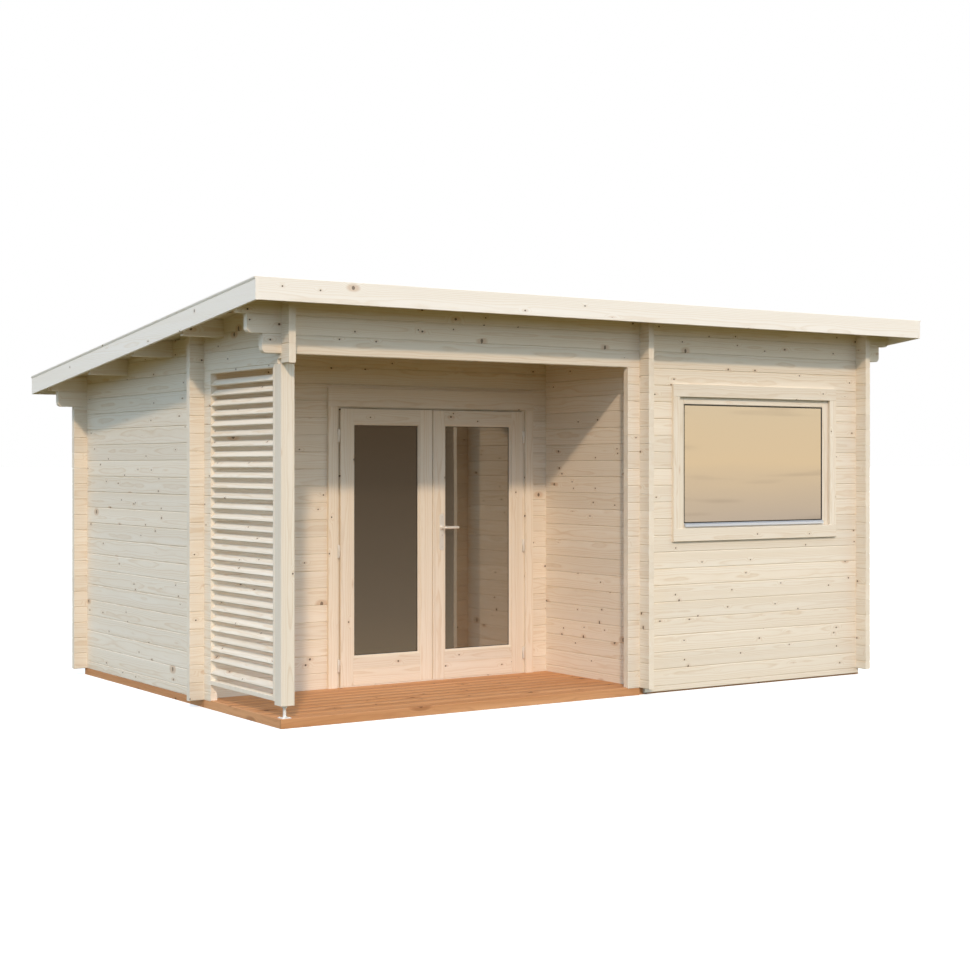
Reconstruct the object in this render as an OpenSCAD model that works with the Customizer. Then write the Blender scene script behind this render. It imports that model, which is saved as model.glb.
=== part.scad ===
// Garden sauna cabin: interlocking log walls, a covered terrace with a louvred side,
// a double glazed door, a large fixed window and a lean-to roof that falls to the back.
// Millimetres. +X runs along the front to the right, +Y to the back, +Z up.
// The origin is under the middle of the roof, on the ground.

/* [Logs] */
// Thickness of a wall log
log_t = 45; // [40:1:60]
// Height of one course of logs
log_h = 114; // [110:1:118]
// Depth of the V groove between two courses
groove = 5; // [3:1:7]
// Length of a log end past the wall it crosses
log_end = 100; // [80:1:120]
// How much longer each stepped top log is than the one below it
corbel_step = 98; // [85:1:100]
// Extra length of the terrace beam's lowest log at its free end
beam_extra = 24; // [0:1:30]
// Radius of the rounded lower corner on a stepped log end
corbel_r = 28; // [15:1:40]

/* [Plan] */
// Width over the outer faces of the side walls
cabin_w = 4800; // [4700:10:5200]
// Depth over the outer faces of the front and back walls
cabin_d = 3200; // [3100:10:3600]
// Width of the terrace, from the left wall's outer face to the partition
terrace_w = 2700; // [2660:10:2750]
// Depth of the terrace, from the front face to the door wall
terrace_d = 1085; // [1000:5:1150]

/* [Base] */
// Height of the foundation beams under the walls
base_h = 48; // [44:1:60]
// Width of the foundation beams
base_w = 45; // [40:1:45]
// Width of the joists under the floors
joist_w = 45; // [35:1:60]
// Largest distance between joists
joist_gap = 520; // [400:10:800]
// Thickness of the terrace boards
deck_t = 28; // [24:1:32]
// Width of a terrace board
deck_board = 115; // [95:1:145]
// Smallest gap between terrace boards
deck_gap = 3; // [3:1:8]
// How far the terrace boards stand above the foundation
deck_rise = 8; // [4:1:12]
// Thickness of the boards round the edge of the terrace
rim_t = 20; // [18:1:28]
// Thickness of the floor inside
floor_t = 20; // [18:1:28]
// Height of the starter strip under the front wall
starter_h = 36; // [30:1:40]
// Thickness of the starter strip
starter_t = 20; // [16:1:24]
// How far the starter strip stops short of the right corner
starter_in = 22; // [3:1:30]

/* [Roof] */
// Courses of logs in the front wall
front_courses = 22; // [22:1:23]
// Full courses of logs in the back wall
back_courses = 19; // [19:1:20]
// Courses in the beam that carries the roof over the terrace
beam_courses = 3; // [2:1:4]
// Roof overhang past the side walls
side_eave = 320; // [310:5:360]
// Roof overhang past the front face
front_eave = 300; // [250:5:350]
// Roof overhang past the back wall
back_eave = 265; // [200:5:320]
// Thickness of the roof boards
roof_t = 20; // [18:1:24]
// Thickness of the roof covering
cover_t = 4; // [3:1:6]
// Height of the fascia boards
fascia_h = 133; // [120:1:150]
// Thickness of the fascia boards
fascia_t = 19; // [16:1:24]
// How far the fascia boards stand above the underside of the roof boards
fascia_rise = 37; // [30:1:45]
// Thickness of the cover strip along the top of the side fascias
strip_t = 6; // [4:1:10]
// Height of that cover strip
strip_h = 15; // [10:1:20]
// How far the purlins stop short of the side fascias
purlin_short = 20; // [0:5:40]

/* [Post and louvre] */
// Side of the square corner post
post_w = 90; // [80:1:100]
// Gap between the terrace boards and the foot of the post
post_gap = 78; // [60:1:90]
// Side of the foot's square plate
foot_plate = 62; // [55:1:80]
// Thickness of that plate
foot_plate_t = 5; // [4:1:8]
// Diameter of the threaded rod
foot_rod_d = 20; // [16:1:24]
// Width across the corners of the nut
foot_nut_d = 36; // [30:1:46]
// Height of the nut
foot_nut_h = 16; // [12:1:20]
// Distance from one slat to the next
slat_pitch = 65; // [60:1:75]
// Gap from a lath to the slat beside it
slat_gap = 36; // [20:1:44]
// Width of a slat
slat_w = 50; // [44:1:50]
// Thickness of a slat
slat_t = 12; // [9:1:14]
// Tilt of the slats
slat_tilt = 45; // [40:1:50]
// Thickness of the laths round the louvre
lath_t = 20; // [15:1:24]
// Height of the louvre's bottom lath
lath_h = 27; // [20:1:32]
// Gap between the terrace boards and the louvre's bottom lath
louvre_gap = 100; // [80:1:110]

/* [Door] */
// Distance from the left wall's outer face to the left leaf
door_left = 989; // [900:1:1100]
// Distance from the right leaf to the partition
door_right = 219; // [160:1:300]
// Height of a door leaf
leaf_h = 1873; // [1800:1:1880]
// Thickness of a door leaf
leaf_t = 40; // [36:1:44]
// How far the leaves stand in front of the log wall
leaf_proud = 17; // [12:1:20]
// How far the meeting line lies left of the middle
meeting_shift = 19; // [0:1:25]
// Clearance round each leaf
leaf_gap = 5; // [5:1:6]
// Clearance between the two leaves
meeting_gap = 6; // [6:1:8]
// Width of a leaf's stiles and top rail
stile_w = 111; // [95:1:115]
// Extra height of a leaf's bottom rail over its stiles
kick_h = 90; // [60:1:110]
// Width of the beading round a pane
bead_w = 14; // [10:1:18]
// How far the beading lies behind the face of the leaf
bead_set = 6; // [4:1:8]
// Thickness of the door glass
glass_t = 6; // [4:1:8]
// Width of the cover strip at the meeting line
astragal_w = 24; // [18:1:30]
// Thickness of that cover strip
astragal_t = 6; // [4:1:8]
// Width of the door frame's posts
jamb_w = 54; // [45:1:60]
// Width of the stop that the leaves close against
stop_w = 15; // [12:1:20]
// Height of the sill under the leaves
sill_h = 12; // [8:1:12]
// Width of the trim boards beside the door
door_trim_w = 68; // [60:1:75]
// Height of the trim board over the door
door_trim_h = 128; // [100:1:140]
// Thickness of the trim boards
trim_t = 20; // [16:1:22]
// Distance from the edge of a leaf to the trim board beside it
trim_gap = 26; // [24:1:30]
// Distance from the top of a leaf to the trim board over it
trim_over = 12; // [8:1:16]
// Distance from the edge of a leaf to its hinge axis
hinge_out = 14; // [13:1:15]
// Distance from the face of a leaf back to its hinge axis
hinge_back = 7; // [6:1:8]
// Diameter of a hinge barrel
hinge_d = 18; // [14:1:19]
// Length of a hinge barrel
hinge_h = 90; // [70:1:100]
// Distance from the top of a leaf to its top hinge
hinge_top = 137; // [100:1:200]
// Distance from the foot of a leaf to its bottom hinge
hinge_foot = 94; // [80:1:200]
// Height of the middle hinge above the foot of the leaf
hinge_mid = 866; // [800:1:950]

/* [Handle] */
// Height of the lever above the foot of the leaf
lever_z = 1055; // [1000:1:1100]
// Distance from the meeting edge to the lever's spindle
lever_set = 73; // [60:1:80]
// Length of the lever from its spindle
lever_l = 116; // [110:1:160]
// Thickness of the lever
lever_d = 20; // [16:1:24]
// Distance from the leaf to the middle of the lever
lever_out = 45; // [40:1:55]
// Width of the lock plate
plate_w = 38; // [30:1:44]
// Height of the lock plate
plate_h = 256; // [220:1:270]
// Thickness of the lock plate
plate_t = 4; // [3:1:5]
// Height of the lever above the middle of the lock plate
plate_up = 30; // [20:1:50]
// Diameter of the spindle through the leaf
spindle_d = 12; // [10:1:14]

/* [Window] */
// Distance from the partition to the window's trim
window_left = 239; // [150:1:400]
// Distance from the window's trim to the right wall
window_right = 223; // [150:1:400]
// Height of the underside of the window's trim above the foundation
window_z = 982; // [940:2:1020]
// Height over the window's trim boards
window_h = 1084; // [1000:2:1100]
// Width of the trim boards beside the window
window_trim_w = 60; // [50:1:70]
// Height of the trim boards over and under the window
window_trim_h = 88; // [70:1:100]
// Width of the window frame's side rails
sash_w = 55; // [45:1:65]
// Height of the window frame's top rail
sash_top = 50; // [40:1:60]
// Height of the window frame's bottom rail
sash_foot = 36; // [34:1:50]
// How far the window glass lies behind the frame's face
pane_set = 6; // [4:1:10]
// How far the window frame lies behind the face of the wall
sash_set = 6; // [2:1:10]
// Height of the weather bar at the foot of the glass
bar_h = 24; // [18:1:30]
// How far the weather bar stands in front of the frame
bar_out = 14; // [8:1:18]

/* [Hidden] */
$fn = 48;
big = 10000;

// Plan lines, counted from the origin
roof_d = front_eave + cabin_d + back_eave;
x_left = -cabin_w / 2;
x_right = cabin_w / 2;
x_part = x_left + terrace_w;
y_front = -roof_d / 2 + front_eave;
y_back = y_front + cabin_d;
y_door = y_front + terrace_d;
y_stub = y_door - log_end;

// Levels
z_wall = base_h;
z_deck = base_h + deck_rise;
z_front = z_wall + front_courses * log_h;
z_back = z_wall + back_courses * log_h;
z_beam = z_front - beam_courses * log_h;
z_header = z_beam - log_h / 2;
fall = (z_front - z_back) / (cabin_d - log_t);

// Door
door_l = x_left + door_left;
door_r = x_part - door_right;
y_leaf = y_door - leaf_proud;
z_leaf = z_wall + sill_h + leaf_gap;
z_leaf_top = z_leaf + leaf_h;
door_hole_l = door_l - leaf_gap - jamb_w;
door_hole_r = door_r + leaf_gap + jamb_w;
z_door_hole = z_leaf_top + leaf_gap + jamb_w;
door_trim_l = door_l - trim_gap;
door_trim_r = door_r + trim_gap;
z_door_trim = z_leaf_top + trim_over;
meet_l = (door_l + door_r - meeting_gap) / 2 - meeting_shift;
meet_r = meet_l + meeting_gap;
hinge_levels = [z_leaf + hinge_foot, z_leaf + hinge_mid, z_leaf_top - hinge_top - hinge_h];
y_hinge = y_leaf + hinge_back;
hinge_l = door_l - hinge_out;
hinge_r = door_r + hinge_out;
x_lever = meet_r + lever_set;
z_lever = z_leaf + lever_z;

// Window
window_l = x_part + log_t + window_left + window_trim_w;
window_r = x_right - log_t - window_right - window_trim_w;
z_sill = z_wall + window_z + window_trim_h;
z_lintel = z_wall + window_z + window_h - window_trim_h;
glass_l = window_l + sash_w;
glass_r = window_r - sash_w;
z_glass = z_sill + sash_foot;
z_glass_top = z_lintel - sash_top;
lap = 10;

// Running play of pins, and how far cuts run past a face
play = 0.5;
cut = 1;
tongue_t = 4;

// Gap that keeps one face just clear of the next
seat = 0.3;

// Roof edges, to the outer face of the strip along each side
eave_in = side_eave - strip_t - fascia_t;
y_eave = y_front - front_eave;
y_drip = y_back + back_eave;
purlins = 3;

// Underside of the roof boards at a given place
function roof_z(y) = z_front - fall * (y - y_front);

// Places of the purlins' front faces
function purlin_y(i) = y_front + (cabin_d - log_t) * i / (purlins + 1);

// Everything above the underside of the roof boards
module above_roof(rise = 0) {
    roof_slab(-big / 2, big / 2, -roof_d, roof_d, rise, big);
}

// A slab that follows the roof, from one height over the underside of its boards to another
module roof_slab(x0, x1, y0, y1, low, high) {
    translate([x0, 0, 0]) rotate([90, 0, 90]) linear_extrude(x1 - x0)
        polygon([[y0, roof_z(y0) + low], [y1, roof_z(y1) + low],
            [y1, roof_z(y1) + high], [y0, roof_z(y0) + high]]);
}

// How deep the groove is at height z of a wall whose first seam lies at the given height
function inset(z, seam) = max(0, groove - abs(z - seam - log_h * round((z - seam) / log_h)));

// Half the outline across a log wall of height h, with a V groove at each seam
function wall_side(h, seam) = concat(
    [[inset(0, seam), 0]],
    [for (z = [seam : log_h : h + log_h], s = [-groove, 0, groove])
        if (z + s > cut && z + s < h - cut) [inset(z + s, seam), z + s]],
    [[inset(h, seam), h]]);
function wall_outline(h, seam) = let (side = wall_side(h, seam), n = len(side))
    concat(side, [for (i = [n - 1 : -1 : 0]) [log_t - side[i][0], side[i][1]]]);

// A log wall along X, with its front lower left corner at the given place
module wall_along_x(x0, x1, y, z0, z1, seam) {
    translate([x0, y, z0]) rotate([90, 0, 90]) linear_extrude(x1 - x0) polygon(wall_outline(z1 - z0, seam));
}

// A log wall along Y; its seams lie half a course higher than those of a wall along X
module wall_along_y(x, y0, y1, z0, z1, seam) {
    translate([x + log_t, y0, z0]) rotate([90, 0, 180]) linear_extrude(y1 - y0)
        polygon(wall_outline(z1 - z0, seam));
}

// Bands of a corner that belong to the wall along Y
module y_wall_laps(x, y, first, last) {
    for (k = [first : last])
        translate([x, y, z_wall + (k - 0.25) * log_h]) cube([log_t, log_t, log_h / 2]);
}

// Bands of a corner that belong to the wall along X
module x_wall_laps(x, y, first, last) {
    for (k = [first : last])
        translate([x, y, z_wall + (k + 0.25) * log_h]) cube([log_t, log_t, log_h / 2]);
}

// A log end that stands out further than the one below it, rounded at its lower corner
module stepped_end(side, reach, y, course) {
    tip = x_right + reach;
    z = z_wall + course * log_h;
    mirror([side > 0 ? 0 : 1, 0, 0]) difference() {
        wall_along_x(x_right, tip, y, z, z + log_h, 0);
        difference() {
            block(tip - corbel_r, tip + cut, y - cut, y + log_t + cut, z - cut, z + corbel_r);
            translate([tip - corbel_r, y - 2 * cut, z + corbel_r]) rotate([-90, 0, 0])
                cylinder(r = corbel_r, h = log_t + 4 * cut);
        }
    }
}

module purlin_block(i) {
    reach = eave_in - purlin_short;
    translate([x_left - reach, purlin_y(i), roof_z(purlin_y(i)) - log_h])
        cube([cabin_w + 2 * reach, log_t, log_h]);
}

module purlin(i) {
    color("burlywood") difference() {
        purlin_block(i);
        above_roof();
    }
}

// A row of joists between y0 and y1, spread evenly from x0 to x1
module joists(x0, x1, y0, y1, h) {
    bays = ceil((x1 - x0) / joist_gap);
    for (i = [1 : bays - 1])
        translate([x0 + (x1 - x0) * i / bays - joist_w / 2, y0, 0]) cube([joist_w, y1 - y0, h]);
}

module block(x0, x1, y0, y1, z0, z1) {
    translate([x0, y0, z0]) cube([x1 - x0, y1 - y0, z1 - z0]);
}

module foundation_frame() {
    in_l = x_left + base_w;
    in_r = x_right - base_w;
    color("sienna") {
        block(x_left, in_l, y_door, y_back, 0, z_wall);
        block(x_left, x_right, y_back - base_w, y_back, 0, z_wall);
        block(in_r, x_right, y_front + starter_t, y_back, 0, z_wall);
        block(x_part, x_right, y_front + starter_t, y_front + starter_t + base_w, 0, z_wall);
        block(x_part, x_part + base_w, y_front + starter_t, y_door + base_w, 0, z_wall);
        block(x_left, x_part + base_w, y_door, y_door + base_w, 0, z_wall);
        joists(in_l, in_r, y_door + base_w, y_back - base_w, z_wall - floor_t);
        joists(x_part + base_w, in_r, y_front + starter_t + base_w, y_door + base_w, z_wall - floor_t);
    }
}

// Log ends that reach down into the terrace
module terrace_notches() {
    block(x_left - cut, x_left + log_t, y_stub, y_door + cut, z_wall, z_front);
    block(x_part - log_end, x_part + cut, y_front - cut, y_front + log_t, z_wall, z_front);
}

module terrace_frame() {
    color("peru") difference() {
        union() {
            block(x_left, x_part, y_front, y_front + rim_t, 0, z_deck);
            block(x_left, x_left + rim_t, y_front, y_door, 0, z_deck);
            block(x_part - rim_t, x_part, y_front, y_door, 0, z_deck);
            block(x_left, x_part, y_door - rim_t, y_door, 0, z_deck - deck_t);
            joists(x_left, x_part, y_front, y_door, z_deck - deck_t);
        }
        terrace_notches();
    }
}

module terrace_boards() {
    y0 = y_front + rim_t;
    count = floor((y_door - y0 + deck_gap) / (deck_board + deck_gap));
    pitch = (y_door - y0) / count;
    color("peru") difference() {
        for (i = [0 : count - 1])
            block(x_left + rim_t, x_part - rim_t, y0 + i * pitch, y0 + (i + 1) * pitch - deck_gap,
                z_deck - deck_t, z_deck);
        terrace_notches();
    }
}

module cabin_floor() {
    z0 = z_wall - floor_t;
    color("wheat") {
        block(x_left + base_w, x_right - base_w, y_door + base_w, y_back - base_w, z0, z_wall);
        block(x_part + base_w, x_right - base_w, y_front + starter_t + base_w, y_back - base_w, z0, z_wall);
    }
}

module front_starter() {
    color("wheat") block(x_part + base_w, x_right - starter_in, y_front, y_front + starter_t,
        z_wall - starter_h, z_wall);
}

module left_wall() {
    color("wheat") difference() {
        wall_along_y(x_left, y_stub, y_back + log_end, z_wall, roof_z(y_stub), log_h / 2);
        x_wall_laps(x_left, y_door, 0, front_courses);
        x_wall_laps(x_left, y_back - log_t, 0, back_courses - 1);
        purlin_block(2);
        purlin_block(3);
        above_roof();
    }
}

module left_header() {
    y0 = y_front - log_end;
    color("wheat") difference() {
        wall_along_y(x_left, y0, y_stub, z_header, roof_z(y0), 0);
        x_wall_laps(x_left, y_front, front_courses - beam_courses, front_courses - 1);
        purlin_block(1);
        above_roof();
    }
}

module right_wall() {
    y0 = y_front - log_end;
    color("wheat") difference() {
        wall_along_y(x_right - log_t, y0, y_back + log_end, z_wall, roof_z(y0), log_h / 2);
        x_wall_laps(x_right - log_t, y_front, 0, front_courses - 1);
        x_wall_laps(x_right - log_t, y_back - log_t, 0, back_courses - 1);
        for (i = [1 : purlins]) purlin_block(i);
        above_roof();
    }
}

module partition_wall() {
    y0 = y_front - log_end;
    color("wheat") difference() {
        wall_along_y(x_part, y0, y_door + log_t + log_end, z_wall, roof_z(y0), log_h / 2);
        x_wall_laps(x_part, y_front, 0, front_courses - 1);
        x_wall_laps(x_part, y_door, 0, front_courses);
        purlin_block(1);
        above_roof();
    }
}

module back_wall() {
    y = y_back - log_t;
    color("wheat") difference() {
        union() {
            wall_along_x(x_left - log_end, x_right + log_end, y, z_wall, z_back, 0);
            for (side = [-1, 1]) {
                stepped_end(side, log_end + beam_extra + corbel_step, y, back_courses - 2);
                stepped_end(side, eave_in, y, back_courses - 1);
            }
        }
        y_wall_laps(x_left, y, 0, back_courses);
        y_wall_laps(x_right - log_t, y, 0, back_courses);
        above_roof();
    }
}

module door_wall_left() {
    color("wheat") difference() {
        wall_along_x(x_left - log_end, door_hole_l, y_door, z_wall, roof_z(y_door), 0);
        y_wall_laps(x_left, y_door, 0, front_courses);
        above_roof();
    }
}

module door_wall_right() {
    color("wheat") difference() {
        wall_along_x(door_hole_r, x_part + log_t + log_end, y_door, z_wall, roof_z(y_door), 0);
        y_wall_laps(x_part, y_door, 0, front_courses);
        above_roof();
    }
}

module door_wall_over() {
    seam = log_h - (z_door_hole - z_wall) % log_h;
    color("wheat") difference() {
        wall_along_x(door_hole_l, door_hole_r, y_door, z_door_hole, roof_z(y_door), seam);
        above_roof();
    }
}

module front_wall() {
    color("wheat") difference() {
        wall_along_x(x_part - log_end, x_right + log_end, y_front, z_wall, z_beam, 0);
        y_wall_laps(x_part, y_front, 0, front_courses);
        y_wall_laps(x_right - log_t, y_front, 0, front_courses);
        window_hole();
    }
}

module front_beam() {
    first = front_courses - beam_courses;
    color("wheat") difference() {
        union() {
            wall_along_x(x_left - log_end, x_right + log_end, y_front, z_beam, z_front, 0);
            stepped_end(-1, log_end + beam_extra, y_front, first);
            stepped_end(-1, log_end + beam_extra + corbel_step, y_front, front_courses - 2);
            stepped_end(1, log_end + corbel_step, y_front, front_courses - 2);
            for (side = [-1, 1]) stepped_end(side, eave_in, y_front, front_courses - 1);
        }
        y_wall_laps(x_left, y_front, first, front_courses);
        y_wall_laps(x_part, y_front, first, front_courses);
        y_wall_laps(x_right - log_t, y_front, first, front_courses);
        above_roof();
    }
}

module corner_post() {
    color("wheat")
        block(x_left, x_left + post_w, y_front, y_front + post_w, z_deck + post_gap, z_header);
}

module post_foot() {
    color("silver") translate([x_left + post_w / 2, y_front + post_w / 2, z_deck]) {
        translate([-foot_plate / 2, -foot_plate / 2, 0]) cube([foot_plate, foot_plate, foot_plate_t]);
        cylinder(d = foot_rod_d, h = post_gap);
        translate([0, 0, post_gap - foot_nut_h]) cylinder(d = foot_nut_d, h = foot_nut_h, $fn = 6);
    }
}

module louvre_frame() {
    y0 = y_front + post_w;
    z0 = z_deck + louvre_gap;
    color("wheat") {
        block(x_left, x_left + log_t, y0, y0 + lath_t, z0, z_header);
        block(x_left, x_left + log_t, y0, y_stub, z_header - lath_t, z_header);
        block(x_left, x_left + log_t, y0, y_stub, z0, z0 + lath_h);
    }
}

// Slats at an even pitch down from the top lath, and one that closes the foot of the screen
module louvre_slats() {
    y0 = y_front + post_w + lath_t;
    half_h = (slat_w * sin(slat_tilt) + slat_t * cos(slat_tilt)) / 2;
    top = z_header - lath_t - slat_gap - half_h;
    foot = z_deck + louvre_gap + lath_h + slat_gap + half_h;
    last = floor((top - foot) / slat_pitch) - 1;
    color("wheat")
        for (z = concat([for (i = [0 : last]) top - i * slat_pitch], [foot]))
            translate([x_left + log_t / 2, y0, z]) rotate([0, -slat_tilt, 0])
                translate([-slat_w / 2, 0, -slat_t / 2]) cube([slat_w, y_stub - seat - y0, slat_t]);
}

module purlin_front() purlin(1);
module purlin_middle() purlin(2);
module purlin_back() purlin(3);

module roof_boards() {
    color("wheat")
        roof_slab(x_left - eave_in, x_right + eave_in, y_eave + fascia_t, y_drip - fascia_t, 0, roof_t);
}

module roof_covering() {
    color("dimgray")
        roof_slab(x_left - eave_in, x_right + eave_in, y_eave + fascia_t, y_drip,
            roof_t + seat, roof_t + seat + cover_t);
}

module front_fascia() {
    z1 = roof_z(y_eave) + fascia_rise;
    color("wheat") block(x_left - eave_in, x_right + eave_in, y_eave, y_eave + fascia_t, z1 - fascia_h, z1);
}

module back_fascia() {
    color("wheat")
        roof_slab(x_left - eave_in, x_right + eave_in, y_drip - fascia_t, y_drip,
            fascia_rise - fascia_h, roof_t);
}

// A side fascia, with a cover strip along its top
module side_fascia(side) {
    x = x_right + eave_in;
    color("wheat") mirror([side > 0 ? 0 : 1, 0, 0]) {
        roof_slab(x, x + fascia_t, y_eave, y_drip, fascia_rise - fascia_h, fascia_rise);
        roof_slab(x, x + fascia_t + strip_t, y_eave, y_drip, fascia_rise - strip_h, fascia_rise);
    }
}

module left_fascia() side_fascia(-1);
module right_fascia() side_fascia(1);

module door_frame() {
    in_l = door_hole_l + jamb_w;
    in_r = door_hole_r - jamb_w;
    z_head = z_leaf_top + leaf_gap;
    y_stop = y_leaf + leaf_t + leaf_gap;
    color("wheat") difference() {
        block(door_hole_l, door_hole_r, y_door, y_door + log_t, z_wall, z_door_hole);
        block(in_l, in_r, y_door - cut, y_stop, z_wall + sill_h, z_head);
        block(in_l + stop_w, in_r - stop_w, y_door, y_door + log_t + cut, z_wall + sill_h,
            z_head - stop_w);
    }
}

// Trim boards round the door, in front of the plane y
module door_trim(y) {
    color("wheat") difference() {
        block(door_trim_l - door_trim_w, door_trim_r + door_trim_w, y, y + trim_t, z_deck,
            z_door_trim + door_trim_h);
        block(door_trim_l, door_trim_r, y - cut, y + trim_t + cut, z_deck - cut, z_door_trim);
    }
}

module door_trim_outside() door_trim(y_door - trim_t);
module door_trim_inside() door_trim(y_door + log_t);

// Half of a hinge barrel, lower or upper
module barrel(x, z) {
    translate([x, y_hinge, z]) cylinder(d = hinge_d, h = hinge_h / 2 - play);
}

module door_hinge_pins() {
    color("silver") for (z = hinge_levels, x = [hinge_l, hinge_r]) {
        barrel(x, z);
        block(x - hinge_d / 4, x + hinge_d / 4, y_hinge, y_door, z, z + hinge_h / 2 - play);
    }
}

// Upper hinge halves on the axis x, with tongues that reach a leaf's edge
module leaf_hinges(x, edge) {
    color("silver") for (z = hinge_levels) {
        barrel(x, z + hinge_h / 2);
        block(min(x, edge), max(x, edge), y_hinge - tongue_t / 2, y_hinge + tongue_t / 2,
            z + hinge_h / 2, z + hinge_h - play);
    }
}

module left_door_hinges() leaf_hinges(hinge_l, door_l);
module right_door_hinges() leaf_hinges(hinge_r, door_r);

// A leaf from x0 to x1: stiles and rails round one tall pane, with a beaded edge
module leaf(x0, x1) {
    z0 = z_leaf + stile_w + kick_h;
    z1 = z_leaf_top - stile_w;
    difference() {
        block(x0, x1, y_leaf, y_leaf + leaf_t, z_leaf, z_leaf_top);
        block(x0 + stile_w, x1 - stile_w, y_leaf - cut, y_leaf + leaf_t + cut, z0, z1);
        for (y = [y_leaf - cut, y_leaf + leaf_t - bead_set])
            block(x0 + stile_w - bead_w, x1 - stile_w + bead_w, y, y + bead_set + cut,
                z0 - bead_w, z1 + bead_w);
    }
}

module pane(x0, x1) {
    y = y_leaf + (leaf_t - glass_t) / 2;
    color("slategray", 0.5)
        block(x0 + stile_w, x1 - stile_w, y, y + glass_t, z_leaf + stile_w + kick_h, z_leaf_top - stile_w);
}

module left_door_leaf() {
    color("wheat") leaf(door_l, meet_l);
}

module left_door_glass() pane(door_l, meet_l);

module right_door_leaf() {
    color("wheat") difference() {
        union() {
            leaf(meet_r, door_r);
            block(meet_r, meet_r + astragal_w, y_leaf - astragal_t, y_leaf, z_leaf, z_leaf_top);
        }
        spindle_hole();
    }
}

module right_door_glass() pane(meet_r, door_r);

// The hole that the spindle turns in, through the leaf and both lock plates
module spindle_hole() {
    translate([x_lever, y_leaf - lever_out, z_lever]) rotate([-90, 0, 0])
        cylinder(d = spindle_d + 2 * play, h = leaf_t + 2 * lever_out);
}

module door_lock_plate() {
    color("silver") difference() {
        for (y = [y_leaf - plate_t, y_leaf + leaf_t])
            translate([x_lever, y, z_lever - plate_up]) rotate([-90, 0, 0]) linear_extrude(plate_t) {
                square([plate_w, plate_h - plate_w], center = true);
                for (s = [-1, 1]) translate([0, s * (plate_h - plate_w) / 2]) circle(d = plate_w);
            }
        spindle_hole();
    }
}

module door_handle() {
    color("silver") translate([x_lever, 0, z_lever]) {
        translate([0, y_leaf - lever_out, 0]) rotate([-90, 0, 0])
            cylinder(d = spindle_d, h = leaf_t + 2 * lever_out);
        for (y = [y_leaf - lever_out, y_leaf + leaf_t + lever_out])
            translate([0, y, 0]) {
                rotate([0, 90, 0]) cylinder(d = lever_d, h = lever_l);
                sphere(d = lever_d);
            }
    }
}

module window_hole() {
    block(window_l - lap, window_r + lap, y_front - cut, y_front + log_t + cut, z_sill - lap, z_lintel + lap);
}

module window_frame() {
    y0 = y_front + sash_set;
    color("wheat") difference() {
        block(window_l - lap, window_r + lap, y0, y_front + log_t, z_sill - lap, z_lintel + lap);
        block(glass_l, glass_r, y0 - cut, y_front + log_t + cut, z_glass, z_glass_top);
    }
}

module window_glass() {
    y0 = y_front + sash_set + pane_set;
    color("slategray", 0.5) block(glass_l, glass_r, y0, y0 + glass_t, z_glass, z_glass_top);
}

module window_bar() {
    y0 = y_front + sash_set;
    color("silver") block(glass_l, glass_r, y0 - bar_out, y0, z_glass - bar_h, z_glass);
}

// Trim boards round the window, in front of the plane y
module window_trim(y) {
    z0 = z_wall + window_z;
    color("wheat") difference() {
        block(window_l - window_trim_w, window_r + window_trim_w, y, y + trim_t, z0, z0 + window_h);
        block(window_l, window_r, y - cut, y + trim_t + cut, z_sill, z_lintel);
    }
}

module window_trim_outside() window_trim(y_front - trim_t);
module window_trim_inside() window_trim(y_front + log_t);

foundation_frame();
terrace_frame();
terrace_boards();
cabin_floor();
front_starter();
left_wall();
left_header();
right_wall();
partition_wall();
back_wall();
door_wall_left();
door_wall_right();
door_wall_over();
front_wall();
front_beam();
corner_post();
post_foot();
louvre_frame();
louvre_slats();
purlin_front();
purlin_middle();
purlin_back();
roof_boards();
roof_covering();
front_fascia();
back_fascia();
left_fascia();
right_fascia();
door_frame();
door_trim_outside();
door_trim_inside();
door_hinge_pins();
left_door_leaf();
left_door_glass();
left_door_hinges();
right_door_leaf();
right_door_glass();
right_door_hinges();
door_lock_plate();
door_handle();
window_frame();
window_glass();
window_bar();
window_trim_outside();
window_trim_inside();
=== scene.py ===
import bpy, bmesh, math, random
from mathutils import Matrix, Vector


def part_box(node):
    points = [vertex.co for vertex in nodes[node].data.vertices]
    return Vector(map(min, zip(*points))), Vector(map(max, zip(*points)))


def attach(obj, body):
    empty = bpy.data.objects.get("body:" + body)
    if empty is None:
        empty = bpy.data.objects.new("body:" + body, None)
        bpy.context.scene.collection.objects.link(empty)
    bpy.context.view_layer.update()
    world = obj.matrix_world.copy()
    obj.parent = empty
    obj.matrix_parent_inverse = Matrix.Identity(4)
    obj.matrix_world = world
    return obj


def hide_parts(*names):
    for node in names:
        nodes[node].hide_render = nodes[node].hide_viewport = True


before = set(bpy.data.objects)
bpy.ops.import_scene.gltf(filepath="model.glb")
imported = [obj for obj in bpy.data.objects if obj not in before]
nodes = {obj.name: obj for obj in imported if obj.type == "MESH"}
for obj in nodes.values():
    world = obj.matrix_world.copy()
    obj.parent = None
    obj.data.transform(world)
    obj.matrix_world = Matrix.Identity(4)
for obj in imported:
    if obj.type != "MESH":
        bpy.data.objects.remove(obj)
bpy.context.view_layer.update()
random.seed(11)
print("frame loaded:", len(nodes), "nodes")


# colours are written as sRGB hex and used as linear values
def hexColor(text):
    parts = [int(text[i:i + 2], 16) / 255 for i in (0, 2, 4)]
    return tuple(c / 12.92 if c <= 0.04045 else ((c + 0.055) / 1.055) ** 2.4 for c in parts) + (1.0,)


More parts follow.
